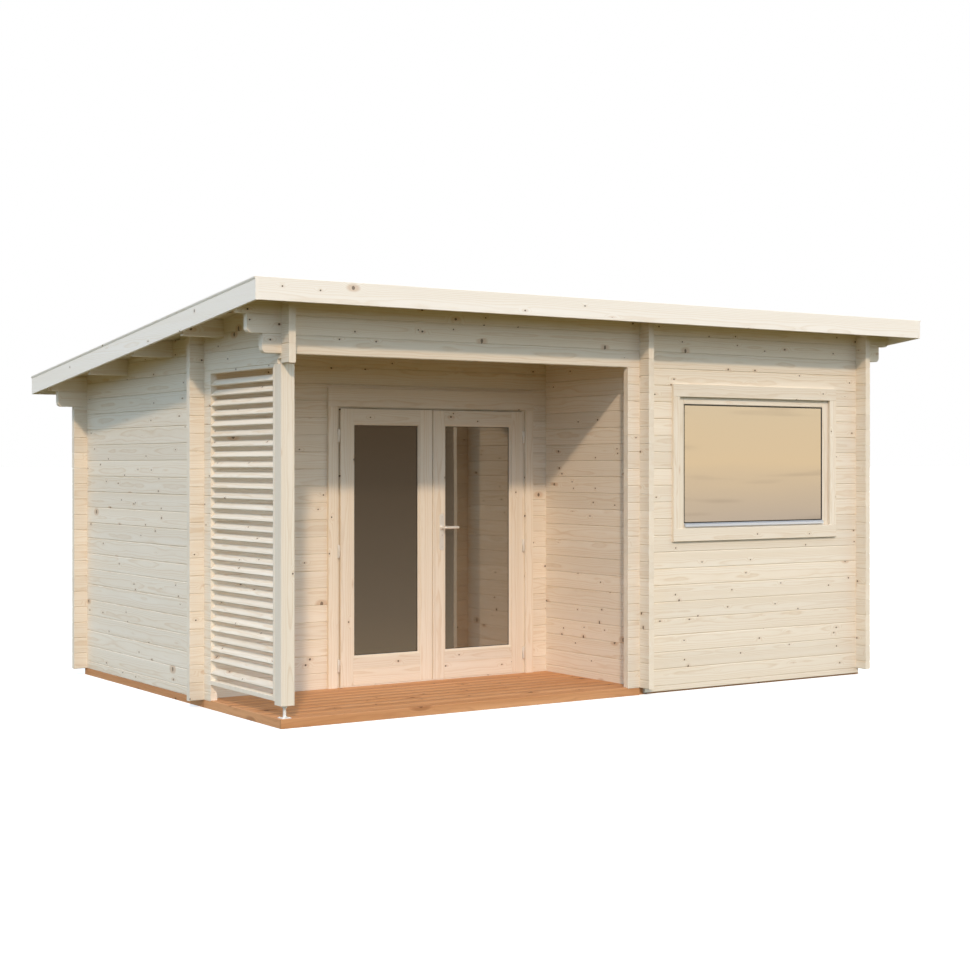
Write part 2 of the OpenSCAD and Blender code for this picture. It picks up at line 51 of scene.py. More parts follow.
# adds one node; links maps an input to a value, to a node's output, or to a node, meaning its first output
def addNode(tree, kind, links=None, **settings):
    node = tree.nodes.new(kind)
    for key, value in settings.items():
        setattr(node, key, value)
    for socket, source in (links or {}).items():
        if isinstance(source, bpy.types.Node):
            source = source.outputs[0]
        if isinstance(source, bpy.types.NodeSocket):
            tree.links.new(source, node.inputs[socket])
        else:
            node.inputs[socket].default_value = source
    return node


def addObject(name, data):
    obj = bpy.data.objects.new(name, data)
    bpy.context.scene.collection.objects.link(obj)
    return obj


def newMaterial(name):
    material = bpy.data.materials.new(name)
    material.use_nodes = True
    material.node_tree.nodes.clear()
    return material, material.node_tree


view = {"place": (-7.009, -10.651, 1.563), "turn": -33.72, "lens": 63.64, "shiftY": -0.0216}
sunLight = {"ray": (0.6, 1.0, -0.767), "strength": 1.77, "size": 3.2, "color": "FFE2C3"}

camera = addObject("camera", bpy.data.cameras.new("camera"))
camera.location = view["place"]
camera.rotation_euler = (math.radians(90), 0, math.radians(view["turn"]))
camera.data.lens = view["lens"]
camera.data.sensor_width = 36
camera.data.shift_y = view["shiftY"]
camera.data.clip_end = 2000
bpy.context.scene.camera = camera
bpy.context.scene.view_settings.view_transform = "Standard"
bpy.context.scene.view_settings.look = "None"

world = bpy.data.worlds.new("studio")
world.use_nodes = True
bpy.context.scene.world = world
tree = world.node_tree
tree.nodes.clear()
# white behind the object; the light on it is a sum of the broad parts of a soft sky and of pale ground
skyParts = {"ground": ("FFE878", 0.128), "open": ("CEE0FC", 1.005), "left": ("CFF2FA", 0.625),
            "right": ("FBFCDE", 1.61)}
direction = addNode(tree, "ShaderNodeTexCoord").outputs["Generated"]
parts = addNode(tree, "ShaderNodeSeparateXYZ", {0: direction}).outputs
upper = addNode(tree, "ShaderNodeMapRange", {0: parts[2], 1: -0.02, 2: 0.02})
lower = addNode(tree, "ShaderNodeMath", {0: 1.0, 1: upper}, operation="SUBTRACT")
toLeft = addNode(tree, "ShaderNodeMath", {0: parts[0], 1: -1.0}, operation="MULTIPLY", use_clamp=True)
toRight = addNode(tree, "ShaderNodeMath", {0: parts[0], 1: 0.0}, operation="MAXIMUM")
upperLeft = addNode(tree, "ShaderNodeMath", {0: upper, 1: toLeft}, operation="MULTIPLY")
upperRight = addNode(tree, "ShaderNodeMath", {0: upper, 1: toRight}, operation="MULTIPLY")
shares = {"ground": lower, "open": upper, "left": upperLeft, "right": upperRight}
soft = (0.0, 0.0, 0.0)
for name, (color, strength) in skyParts.items():
    glow = tuple(c * strength for c in hexColor(color)[:3])
    part = addNode(tree, "ShaderNodeVectorMath", {0: glow, 3: shares[name]}, operation="SCALE")
    soft = addNode(tree, "ShaderNodeVectorMath", {0: soft, 1: part}, operation="ADD")
height = addNode(tree, "ShaderNodeMapRange", {0: parts[2], 1: -1.0, 2: 1.0})
mirrored = addNode(tree, "ShaderNodeValToRGB", {0: height})
mirrorStops = [(0.0, "B4A58E"), (0.43, "A3937B"), (0.457, "877A6B"), (0.485, "796B5C"), (0.512, "6F5F4D"),
               (0.545, "A9A294"), (0.6, "DAD9D3"), (1.0, "EEF1F2")]
for i, (place, color) in enumerate(mirrorStops):
    stop = mirrored.color_ramp.elements[i] if i < 2 else mirrored.color_ramp.elements.new(place)
    stop.position, stop.color = place, hexColor(color)
rays = addNode(tree, "ShaderNodeLightPath").outputs
unseen = addNode(tree, "ShaderNodeMix", {
    0: rays["Is Glossy Ray"], 6: soft, 7: mirrored}, data_type="RGBA").outputs[2]
seen = addNode(tree, "ShaderNodeMix", {
    0: rays["Is Camera Ray"], 6: unseen, 7: (1, 1, 1, 1)}, data_type="RGBA").outputs[2]
back = addNode(tree, "ShaderNodeBackground", {0: seen, 1: 1.0})
addNode(tree, "ShaderNodeOutputWorld", {0: back})

lamp = addObject("sun", bpy.data.lights.new("sun", "SUN"))
lamp.data.energy = sunLight["strength"]
lamp.data.angle = math.radians(sunLight["size"])
lamp.data.color = hexColor(sunLight["color"])[:3]
lamp.rotation_euler = Vector(sunLight["ray"]).to_track_quat("-Z", "Y").to_euler()

floorMaterial, tree = newMaterial("paleFloor")
pale = addNode(tree, "ShaderNodeBsdfPrincipled", {
    "Base Color": (0.93, 0.93, 0.93, 1), "Roughness": 0.9, "Specular IOR Level": 0.0,
    "Emission Color": (1, 1, 1, 1), "Emission Strength": 0.35})
addNode(tree, "ShaderNodeOutputMaterial", {0: pale})
mesh = bpy.data.meshes.new("floor")
half = 600                                               # metres, so its edge stays out of every view
mesh.from_pydata([(-half, -half, 0), (half, -half, 0), (half, half, 0), (-half, half, 0)], [],
                 [(0, 1, 2, 3)])
floor = addObject("floor", mesh)
floor.data.materials.append(floorMaterial)
floor.visible_diffuse = False
floor.visible_glossy = False

# a warm evening sky that only the window mirrors
card = {"x": (2.9, 12.0), "solid": (4.25, 7.5), "y": -6.0, "z": (-0.5, 4.2), "glow": 3.1, "bars": 0.45,
        "barColor": "A6988A",
        "stops": [(0.0, "A9A29A"), (0.24, "B0A89F"), (0.31, "C6B9AD"), (0.45, "E5D0B1"), (0.62, "DFD0B7"),
                  (1.0, "AEB4AA")]}
cardMaterial, tree = newMaterial("skyCard")
(x0, x1), (z0, z1), solid = card["x"], card["z"], card["solid"]
spot = addNode(tree, "ShaderNodeTexCoord").outputs["Object"]
parts = addNode(tree, "ShaderNodeSeparateXYZ", {0: spot}).outputs
stretched = addNode(tree, "ShaderNodeMapping", {0: spot, 3: (0.35, 1, 2.2)})
clouds = addNode(tree, "ShaderNodeTexNoise", {"Vector": stretched, "Scale": 1.0, "Detail": 3.0})
height = addNode(tree, "ShaderNodeMapRange", {0: parts[2], 1: z0, 2: z1, 3: -0.05, 4: 0.95})
level = addNode(tree, "ShaderNodeMath", {0: clouds, 1: 0.1, 2: height}, operation="MULTIPLY_ADD")
flattened = addNode(tree, "ShaderNodeMapping", {0: spot, 3: (0.45, 1, 6.5)})
bars = addNode(tree, "ShaderNodeTexNoise", {"Vector": flattened, "Scale": 1.0, "Detail": 2.0})
barShare = addNode(tree, "ShaderNodeMapRange", {0: bars, 1: 0.54, 2: 0.68, 3: 0.0, 4: card["bars"]})
glow = addNode(tree, "ShaderNodeValToRGB", {0: level})
for i, (place, color) in enumerate(card["stops"]):
    stop = glow.color_ramp.elements[i] if i < 2 else glow.color_ramp.elements.new(place)
    stop.position, stop.color = place, hexColor(color)
clouded = addNode(tree, "ShaderNodeMix", {
    0: barShare, 6: glow, 7: hexColor(card["barColor"])}, data_type="RGBA").outputs[2]
shine = addNode(tree, "ShaderNodeEmission", {0: clouded, 1: card["glow"]})
# both ends fade out, so that no edge of the card shows in the glass
leftFade = addNode(tree, "ShaderNodeMapRange", {
    0: parts[0], 1: x0, 2: solid[0]}, interpolation_type="SMOOTHSTEP")
rightFade = addNode(tree, "ShaderNodeMapRange", {
    0: parts[0], 1: x1, 2: solid[1]}, interpolation_type="SMOOTHSTEP")
fade = addNode(tree, "ShaderNodeMath", {0: leftFade, 1: rightFade}, operation="MULTIPLY")
clear = addNode(tree, "ShaderNodeBsdfTransparent")
faded = addNode(tree, "ShaderNodeMixShader", {0: fade, 1: clear, 2: shine})
addNode(tree, "ShaderNodeOutputMaterial", {0: faded})
mesh = bpy.data.meshes.new("skyCard")
mesh.from_pydata([(x1, card["y"], z0), (x0, card["y"], z0), (x0, card["y"], z1), (x1, card["y"], z1)], [],
                 [(0, 1, 2, 3)])
skyCard = addObject("skyCard", mesh)
skyCard.data.materials.append(cardMaterial)
cardMaterial.cycles.emission_sampling = "NONE"
skyCard.visible_camera = skyCard.visible_diffuse = skyCard.visible_shadow = False
print("camera, light and floor ready")


# what all knots share: "turns" are grid cells in a radian, "least" is a share of the largest knot, "halo"
# and "swirl" are radii of the knot, and the "sharp" ones say how fast an edge fades in a metre
knots = {"turns": 1.2, "long": 1.15, "least": 0.44, "rarity": 4.0, "ragged": 0.003, "sharp": 900.0,
         "halo": 2.2, "haloSlim": 0.45, "haloSharp": 110.0, "haloShade": 0.5, "swirl": 4.0, "push": 0.6}
# how often each part of the grain changes in a metre, along the board and across it
grainScale = {"waves": (1.7, 8.0, 8.0), "streaks": 0.45, "fibres": (9.0, 520.0, 520.0), "knotRim": 260.0}


# sawn softwood: rings round a pith line that runs along each board, fine fibres, and knots that grow out
# from the pith. "grain" holds each board's own coordinates in metres, the first along the grain; "tone"
# differs from board to board; "cut" marks end grain.
def woodMaterial(name, look):
    material, tree = newMaterial(name)
    grain = addNode(tree, "ShaderNodeAttribute", attribute_name="grain").outputs["Vector"]
    tone = addNode(tree, "ShaderNodeAttribute", attribute_name="tone").outputs["Fac"]
    cut = addNode(tree, "ShaderNodeAttribute", attribute_name="cut").outputs["Fac"]
    parts = addNode(tree, "ShaderNodeSeparateXYZ", {0: grain}).outputs
    across = addNode(tree, "ShaderNodeVectorMath", {0: grain, 1: (0, 1, 1)}, operation="MULTIPLY")
    radius = addNode(tree, "ShaderNodeVectorMath", {0: across}, operation="LENGTH").outputs["Value"]
    around = addNode(tree, "ShaderNodeMath", {0: parts[2], 1: parts[1]}, operation="ARCTAN2")

    # knots: at most one in each cell of a grid laid along the pith and round it, a few big brown ones
    # among many small dark ones, and none on end grain
    knotGrid = look["knotGrid"]
    alongCell = addNode(tree, "ShaderNodeMath", {0: parts[0], 1: knotGrid}, operation="MULTIPLY")
    turnCell = addNode(tree, "ShaderNodeMath", {0: around, 1: knots["turns"]}, operation="MULTIPLY")
    cell = addNode(tree, "ShaderNodeCombineXYZ", {0: alongCell, 1: turnCell})
    nearest = addNode(tree, "ShaderNodeTexVoronoi", {
        "Vector": cell, "Scale": 1.0}, voronoi_dimensions="2D", feature="F1")
    apart = addNode(tree, "ShaderNodeVectorMath", {
        0: cell, 1: nearest.outputs["Position"]}, operation="SUBTRACT")
    gap = addNode(tree, "ShaderNodeSeparateXYZ", {0: apart}).outputs
    alongGap = addNode(tree, "ShaderNodeMath", {0: gap[0], 1: knotGrid * knots["long"]}, operation="DIVIDE")
    turnGap = addNode(tree, "ShaderNodeMath", {0: gap[1], 1: knots["turns"]}, operation="DIVIDE")
    roundGap = addNode(tree, "ShaderNodeMath", {0: turnGap, 1: radius}, operation="MULTIPLY")
    offset = addNode(tree, "ShaderNodeCombineXYZ", {0: alongGap, 1: roundGap})
    away = addNode(tree, "ShaderNodeVectorMath", {0: offset}, operation="LENGTH").outputs["Value"]
    longOffset = addNode(tree, "ShaderNodeVectorMath", {
        0: offset, 1: (knots["haloSlim"], 1, 1)}, operation="MULTIPLY")
    longAway = addNode(tree, "ShaderNodeVectorMath", {0: longOffset}, operation="LENGTH").outputs["Value"]
    chance = addNode(tree, "ShaderNodeSeparateColor", {0: nearest.outputs["Color"]}).outputs
    chosen = addNode(tree, "ShaderNodeMath", {
        0: chance[0], 1: 1 - look["knotShare"]}, operation="GREATER_THAN")
    onSide = addNode(tree, "ShaderNodeMath", {0: 1.0, 1: cut}, operation="SUBTRACT")
    some = addNode(tree, "ShaderNodeMath", {0: chosen, 1: onSide}, operation="MULTIPLY")
    rare = addNode(tree, "ShaderNodeMath", {0: chance[1], 1: knots["rarity"]}, operation="POWER")
    share = addNode(tree, "ShaderNodeMath", {
        0: rare, 1: 1 - knots["least"], 2: knots["least"]}, operation="MULTIPLY_ADD")
    knotSize = addNode(tree, "ShaderNodeMath", {0: share, 1: look["knotSize"]}, operation="MULTIPLY")
    rough = addNode(tree, "ShaderNodeTexNoise", {
        "Vector": grain, "Scale": grainScale["knotRim"], "Detail": 1.0})
    ragged = addNode(tree, "ShaderNodeMath", {
        0: rough, 1: knots["ragged"], 2: -knots["ragged"] / 2}, operation="MULTIPLY_ADD")
    rimAway = addNode(tree, "ShaderNodeMath", {0: away, 1: ragged}, operation="ADD")
    inside = addNode(tree, "ShaderNodeMath", {0: knotSize, 1: rimAway}, operation="SUBTRACT")
    filled = addNode(tree, "ShaderNodeMath", {
        0: inside, 1: knots["sharp"]}, operation="MULTIPLY", use_clamp=True)
    knot = addNode(tree, "ShaderNodeMath", {0: filled, 1: some}, operation="MULTIPLY", use_clamp=True)
    haloSize = addNode(tree, "ShaderNodeMath", {0: knotSize, 1: knots["halo"]}, operation="MULTIPLY")
    haloGap = addNode(tree, "ShaderNodeMath", {0: haloSize, 1: longAway}, operation="SUBTRACT")
    haloSoft = addNode(tree, "ShaderNodeMath", {0: haloGap, 1: knots["haloSharp"]}, operation="MULTIPLY")
    halo = addNode(tree, "ShaderNodeMath", {0: haloSoft, 1: some}, operation="MULTIPLY", use_clamp=True)
    swirlSize = addNode(tree, "ShaderNodeMath", {0: knotSize, 1: knots["swirl"]}, operation="MULTIPLY")
    swirlGap = addNode(tree, "ShaderNodeMath", {0: swirlSize, 1: longAway}, operation="SUBTRACT")
    push = addNode(tree, "ShaderNodeMath", {0: swirlGap, 1: 0.0}, operation="MAXIMUM")
    swirl = addNode(tree, "ShaderNodeMath", {0: push, 1: some}, operation="MULTIPLY")

    # rings, pushed about by slow waves and round the knots
    slow = addNode(tree, "ShaderNodeMapping", {0: grain, 3: grainScale["waves"]})
    waves = addNode(tree, "ShaderNodeTexNoise", {"Vector": slow, "Scale": 1.0, "Detail": 3.0})
    wavy = addNode(tree, "ShaderNodeMath", {
        0: waves, 1: look["waves"], 2: radius}, operation="MULTIPLY_ADD")
    depth = addNode(tree, "ShaderNodeMath", {0: swirl, 1: knots["push"], 2: wavy}, operation="MULTIPLY_ADD")
    years = addNode(tree, "ShaderNodeMath", {0: depth, 1: look["ringWidth"]}, operation="DIVIDE")
    rings = addNode(tree, "ShaderNodeMath", {0: years}, operation="FRACT")
    late = addNode(tree, "ShaderNodeValToRGB", {0: rings})
    ringStops = [(0.0, 0.35), (0.12, 0.0), (0.62, 0.18), (0.93, 1.0), (1.0, 0.35)]
    for i, (place, value) in enumerate(ringStops):
        stop = late.color_ramp.elements[i] if i < 2 else late.color_ramp.elements.new(place)
        stop.position, stop.color = place, (value, value, value, 1)
    wide = addNode(tree, "ShaderNodeMapping", {
        0: grain, 3: (grainScale["streaks"], look["streaks"], look["streaks"])})
    streaks = addNode(tree, "ShaderNodeTexNoise", {"Vector": wide, "Scale": 1.0, "Detail": 3.0})
    thin = addNode(tree, "ShaderNodeMapping", {0: grain, 3: grainScale["fibres"]})
    fibres = addNode(tree, "ShaderNodeTexNoise", {"Vector": thin, "Scale": 1.0, "Detail": 2.0})

    # colour: early and late wood, broad streaks, the board's own tone, fine fibres, then halos and knots
    ringStreaks = addNode(tree, "ShaderNodeMath", {
        0: streaks, 1: look["ringShade"] * 2}, operation="MULTIPLY")
    ringShare = addNode(tree, "ShaderNodeMath", {0: late, 1: ringStreaks}, operation="MULTIPLY")
    ringed = addNode(tree, "ShaderNodeMix", {
        0: ringShare, 6: hexColor(look["early"]), 7: hexColor(look["late"])}, data_type="RGBA").outputs[2]
    patch = addNode(tree, "ShaderNodeMapRange", {
        0: streaks, 1: 0.25, 2: 0.75, 3: 0.0, 4: look["streakShade"]})
    streaked = addNode(tree, "ShaderNodeMix", {
        0: patch, 6: ringed, 7: hexColor(look["streak"])}, data_type="RGBA").outputs[2]
    darkest = 1 - look["toneRange"] / 2 - look["fibreShade"] / 2
    toned = addNode(tree, "ShaderNodeMath", {
        0: tone, 1: look["toneRange"], 2: darkest}, operation="MULTIPLY_ADD")
    fibred = addNode(tree, "ShaderNodeMath", {
        0: fibres, 1: look["fibreShade"], 2: toned}, operation="MULTIPLY_ADD")
    endLight = addNode(tree, "ShaderNodeMath", {
        0: cut, 1: -look["endShade"], 2: 1.0}, operation="MULTIPLY_ADD")
    light = addNode(tree, "ShaderNodeMath", {0: fibred, 1: endLight}, operation="MULTIPLY")
    shaded = addNode(tree, "ShaderNodeVectorMath", {0: streaked, 3: light}, operation="SCALE")
    haloDark = addNode(tree, "ShaderNodeMath", {0: share, 1: knots["haloShade"]}, operation="MULTIPLY")
    haloShare = addNode(tree, "ShaderNodeMath", {0: halo, 1: haloDark}, operation="MULTIPLY")
    haloed = addNode(tree, "ShaderNodeMix", {
        0: haloShare, 6: shaded, 7: hexColor(look["halo"])}, data_type="RGBA").outputs[2]
    knotDark = addNode(tree, "ShaderNodeMath", {0: share, 1: -0.5, 2: 1.15}, operation="MULTIPLY_ADD")
    knotShare = addNode(tree, "ShaderNodeMath", {0: knot, 1: knotDark}, operation="MULTIPLY")
    color = addNode(tree, "ShaderNodeMix", {
        0: knotShare, 6: haloed, 7: hexColor(look["knot"])}, data_type="RGBA").outputs[2]
    relief = addNode(tree, "ShaderNodeMath", {0: late, 1: 0.5, 2: fibres}, operation="MULTIPLY_ADD")
    bump = addNode(tree, "ShaderNodeBump", {
        "Strength": look["relief"], "Distance": 0.0006, "Height": relief})
    gloss = addNode(tree, "ShaderNodeMapRange", {
        0: fibres, 1: 0.2, 2: 0.8, 3: look["roughness"] - 0.06, 4: look["roughness"] + 0.08})
    surface = addNode(tree, "ShaderNodeBsdfPrincipled", {
        "Base Color": color, "Roughness": gloss, "IOR": 1.45, "Specular IOR Level": 0.3, "Normal": bump})
    addNode(tree, "ShaderNodeOutputMaterial", {0: surface})
    return material


# freshly planed spruce: pale cream, quiet flat-sawn grain, many small dark dead knots
spruce = {
    "early": "F0E8DA", "late": "CDB18C", "streak": "E7D9C3", "halo": "C29A70", "knot": "3D2C1C",
    "ringWidth": 0.0062, "waves": 0.024, "ringShade": 0.40, "streakShade": 0.45, "toneRange": 0.09,
    "fibreShade": 0.09, "endShade": 0.0, "streaks": 26.0, "knotGrid": 4.2, "knotShare": 0.24,
    "knotSize": 0.0108, "roughness": 0.62, "relief": 0.25}
planedSpruce = woodMaterial("planedSpruce", spruce)
# the boards round the roof are the palest of the same spruce, nearly white in the sun
paleSpruce = woodMaterial("palePlanedSpruce", {**spruce, "early": "FBF7F0", "streak": "F5EEE2",
                                               "late": "DCC7A8", "ringShade": 0.34, "toneRange": 0.04})
# pressure-treated pine: tan brown all through, broad brown streaks, stronger rings than the spruce
treatedPine = woodMaterial("treatedPine", {
    "early": "DEA97B", "late": "AE744A", "streak": "BE8557", "halo": "8E5A35", "knot": "4E2D19",
    "ringWidth": 0.013, "waves": 0.06, "ringShade": 0.42, "streakShade": 0.95, "toneRange": 0.10,
    "fibreShade": 0.12, "endShade": 0.05, "streaks": 12.0, "knotGrid": 3.0, "knotShare": 0.24,
    "knotSize": 0.017, "roughness": 0.58, "relief": 0.3})


# a metal with a fine uneven grain; dull is the share of its skin that scatters light like a matt coat
def metalMaterial(name, color, roughness, grain, dull=0.0):
    material, tree = newMaterial(name)
    spot = addNode(tree, "ShaderNodeTexCoord").outputs["Object"]
    noise = addNode(tree, "ShaderNodeTexNoise", {"Vector": spot, "Scale": grain, "Detail": 2.0})
    gloss = addNode(tree, "ShaderNodeMapRange", {0: noise, 3: roughness - 0.08, 4: roughness + 0.1})
    bump = addNode(tree, "ShaderNodeBump", {"Strength": 0.12, "Distance": 0.0002, "Height": noise})
    surface = addNode(tree, "ShaderNodeBsdfPrincipled", {
        "Base Color": hexColor(color), "Metallic": 1.0 - dull, "Roughness": gloss, "Normal": bump})
    addNode(tree, "ShaderNodeOutputMaterial", {0: surface})
    return material


satinSteel = metalMaterial("satinNickel", "F1EFEA", 0.4, 700, 0.6)          # fine, soft highlights
zincPlate = metalMaterial("hotDipZinc", "F2F3F2", 0.5, 160, 0.7)            # chalky pale spangle
brownScrew = metalMaterial("coatedScrew", "8A5B38", 0.5, 400, 0.5)          # coated to match the pine
barMetal = metalMaterial("anodisedAluminium", "CBD5E4", 0.45, 500, 0.3)     # even, slightly blue


# coated insulating glass: clear, with a thin metal film that mirrors what stands in front of it; a pale
# matt layer mixed in more towards the foot is painted light that makes the panes lighter low down, most on the
# doors
def glassMaterial(name, color, alpha, paintedLightLow, paintedLightHigh):
    material, tree = newMaterial(name)
    spot = addNode(tree, "ShaderNodeTexCoord").outputs["Object"]
    ripple = addNode(tree, "ShaderNodeTexNoise", {"Vector": spot, "Scale": 1.6, "Detail": 0.0})
    bump = addNode(tree, "ShaderNodeBump", {"Strength": 0.08, "Distance": 0.01, "Height": ripple})
    film = addNode(tree, "ShaderNodeBsdfPrincipled", {
        "Base Color": hexColor(color), "Metallic": 1.0, "Roughness": 0.02, "Alpha": alpha,
        "Normal": bump})
    mattLayer = addNode(tree, "ShaderNodeBsdfDiffuse", {0: hexColor("D9CDB8")})
    level = addNode(tree, "ShaderNodeSeparateXYZ", {0: spot})
    # painted light: the share of the pale matt layer grows from the top of the pane down to its foot
    share = addNode(tree, "ShaderNodeMapRange", {
        0: level.outputs[2], 1: 0.3, 2: 1.9, 3: paintedLightLow, 4: paintedLightHigh})
    paintedLightGlass = addNode(tree, "ShaderNodeMixShader", {0: share, 1: film, 2: mattLayer})
    addNode(tree, "ShaderNodeOutputMaterial", {0: paintedLightGlass})
    return material


doorGlass = glassMaterial("coatedDoorGlass", "B5B0A7", 0.8, 0.08, 0.008)
windowGlass = glassMaterial("coatedWindowGlass", "97938B", 0.95, 0.01, 0.004)

# black rubber of the gaskets and the glazing tape, matt and a little dusty; also painted shade in keyhole and
# slots
blackRubberAndHoleShade, tree = newMaterial("sealRubberAndHoleShade")
spot = addNode(tree, "ShaderNodeTexCoord").outputs["Object"]
mattLayer = addNode(tree, "ShaderNodeTexNoise", {"Vector": spot, "Scale": 90.0})
gloss = addNode(tree, "ShaderNodeMapRange", {0: mattLayer, 3: 0.6, 4: 0.85})
surface = addNode(tree, "ShaderNodeBsdfPrincipled", {"Base Color": hexColor("2A2725"), "Roughness": gloss})
addNode(tree, "ShaderNodeOutputMaterial", {0: surface})

# bitumen roofing felt: charcoal, with slate grit that glints a little
roofFelt, tree = newMaterial("mineralFelt")
spot = addNode(tree, "ShaderNodeTexCoord").outputs["Object"]
# grains of 4 mm, coarser than the real grit, so that they show
grit = addNode(tree, "ShaderNodeTexVoronoi", {"Vector": spot, "Scale": 260.0}).outputs
gritLight = addNode(tree, "ShaderNodeSeparateColor", {0: grit["Color"]})
cloud = addNode(tree, "ShaderNodeTexNoise", {"Vector": spot, "Scale": 1.3, "Detail": 4.0})
cloudLight = addNode(tree, "ShaderNodeMath", {0: cloud, 1: 0.45}, operation="MULTIPLY")
shade = addNode(tree, "ShaderNodeMath", {0: gritLight, 1: 0.55, 2: cloudLight}, operation="MULTIPLY_ADD")
color = addNode(tree, "ShaderNodeMix", {
    0: shade, 6: hexColor("2B2D2F"), 7: hexColor("6A6C6C")}, data_type="RGBA").outputs[2]
bump = addNode(tree, "ShaderNodeBump", {"Strength": 0.6, "Distance": 0.001, "Height": grit["Distance"]})
surface = addNode(tree, "ShaderNodeBsdfPrincipled", {
    "Base Color": color, "Roughness": 0.88, "Normal": bump})
addNode(tree, "ShaderNodeOutputMaterial", {0: surface})
print("materials ready")


logs = {"height": 0.114, "thick": 0.045, "groove": 0.0042, "slit": 0.0005, "end": 0.100,
        "firstStep": 0.124, "secondStep": 0.222, "round": 0.028, "notchEase": 0.0004}
roofLow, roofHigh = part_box("roof_boards")
roofThick = 0.020
roofFall = (roofHigh.z - roofThick - roofLow.z) / (roofHigh.y - roofLow.y)


def roofZ(y):
    return roofLow.z + roofFall * (roofHigh.y - y)


# the boards that become one piece, with the values that their wood reads
def newTimber():
    bm = bmesh.new()
    return {"bm": bm, "grain": bm.verts.layers.float_vector.new("grain"),
            "tone": bm.verts.layers.float.new("tone"), "cut": bm.faces.layers.float.new("cut")}


# joins rings of points into one closed board whose grain runs along the axis (0, 1 or 2); the pith of the
# tree lies beyond one of the wide faces, so those faces are cut flat across the rings
def addRings(timber, rings, axis):
    bm = timber["bm"]
    points = [p for ring in rings for p in ring]
    others = [i for i in range(3) if i != axis]
    middle = [sum(p[i] for p in points) / len(points) for i in others]
    spans = [max(p[i] for p in points) - min(p[i] for p in points) for i in others]
    slide, tone, far = random.uniform(0, 40), random.random(), random.uniform(0.06, 0.12)
    turn = random.choice((0.0, math.pi)) + random.uniform(-0.5, 0.5)
    if spans[0] > spans[1]:
        turn += math.pi / 2
    made = []
    for ring in rings:
        row = []
        for p in ring:
            v = bm.verts.new(p)
            v[timber["grain"]] = Vector((p[axis] + slide, p[others[0]] - middle[0] + far * math.cos(turn),
                                         p[others[1]] - middle[1] + far * math.sin(turn)))
            v[timber["tone"]] = tone
            row.append(v)
        made.append(row)
    count = len(rings[0])
    for a, b in zip(made, made[1:]):
        for i in range(count):
            j = (i + 1) % count
            bm.faces.new((a[i], a[j], b[j], b[i]))
    for end in (made[0], made[-1]):
        bm.faces.new(end)[timber["cut"]] = 1.0


# a straight board between two corners, with eased edges
def addBoard(timber, low, high, axis, ease=0.0015):
    u, v = [i for i in range(3) if i != axis]
    e = ease
    outline = [(low[u] + e, low[v]), (high[u] - e, low[v]), (high[u], low[v] + e), (high[u], high[v] - e),
               (high[u] - e, high[v]), (low[u] + e, high[v]), (low[u], high[v] - e), (low[u], low[v] + e)]
    rings = []
    for s in (low[axis], high[axis]):
        ring = []
        for a, b in outline:
            p = [0, 0, 0]
            p[axis], p[u], p[v] = s, a, b
            ring.append(Vector(p))
        rings.append(ring)
    addRings(timber, rings, axis)


# a bar along X or Y through stations (place, lowest, highest, chamfer), cut off under the roof boards
def addBar(timber, axis, stations, d0, d1, underRoof=True):
    rings = []
    for s, z0, z1, c in stations:
        ring = []
        for d, z in [(d0 + c, z0), (d1 - c, z0), (d1, z0 + c), (d1, z1 - c), (d1 - c, z1), (d0 + c, z1),
                     (d0, z1 - c), (d0, z0 + c)]:
            x, y = (s, d) if axis == 0 else (d, s)
            ring.append(Vector((x, y, min(z, roofZ(y) - logs["slit"]) if underRoof else z)))
        rings.append(ring)
    addRings(timber, rings, axis)


# one log with its notches: crossings lists where other walls pass through it
def addLog(timber, axis, a, b, z0, z1, d0, crossings=(), roundA=False, roundB=False):
    c, r, notchEase = logs["groove"], logs["round"], logs["notchEase"]
    z0, z1 = z0 + logs["slit"] / 2, z1 - logs["slit"] / 2
    quarter = logs["height"] / 4
    stations = []
    arc = [math.radians(f) for f in (0, 22, 45, 68, 90)]
    if roundA:
        stations += [(a + r - r * math.sin(f), z0 + r - r * math.cos(f), z1, c / 2) for f in reversed(arc)]
    else:
        stations.append((a, z0, z1, c))
    for s in sorted(crossings):
        if a < s - 0.01 and s + logs["thick"] + 0.01 < b:
            far = s + logs["thick"]
            stations += [(s, z0, z1, c), (s, z0 + quarter, z1 - quarter, notchEase),
                         (far, z0 + quarter, z1 - quarter, notchEase), (far, z0, z1, c)]
    if roundB:
        stations += [(b - r + r * math.sin(f), z0 + r - r * math.cos(f), z1, c / 2) for f in arc]
    else:
        stations.append((b, z0, z1, c))
    if axis == 1:
        level = roofLow.z + roofFall * roofHigh.y
        endsAt = (level - z0 - 0.012) / roofFall           # where the roof has come down to this log's foot
        fullTo = (level - z1) / roofFall                   # and where it starts to cut into its top
        if endsAt < stations[0][0] + 0.02:
            return
        kept = [s for s in stations if s[0] <= endsAt]
        if len(kept) < len(stations):
            kept.append((endsAt, z0, z1, c))
        if kept[0][0] < fullTo < kept[-1][0]:
            at = next(i for i, s in enumerate(kept) if s[0] > fullTo)
            low, high, chamfer = kept[at - 1][1:]
            kept.insert(at, (fullTo, low, high, chamfer))
        stations = kept
    addBar(timber, axis, stations, d0, d0 + logs["thick"])


# names the body that a piece rides on and the solids that it stands for
def finishPiece(obj, body, replaced=()):
    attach(obj, body)
    if replaced:
        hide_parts(*replaced)
    return obj


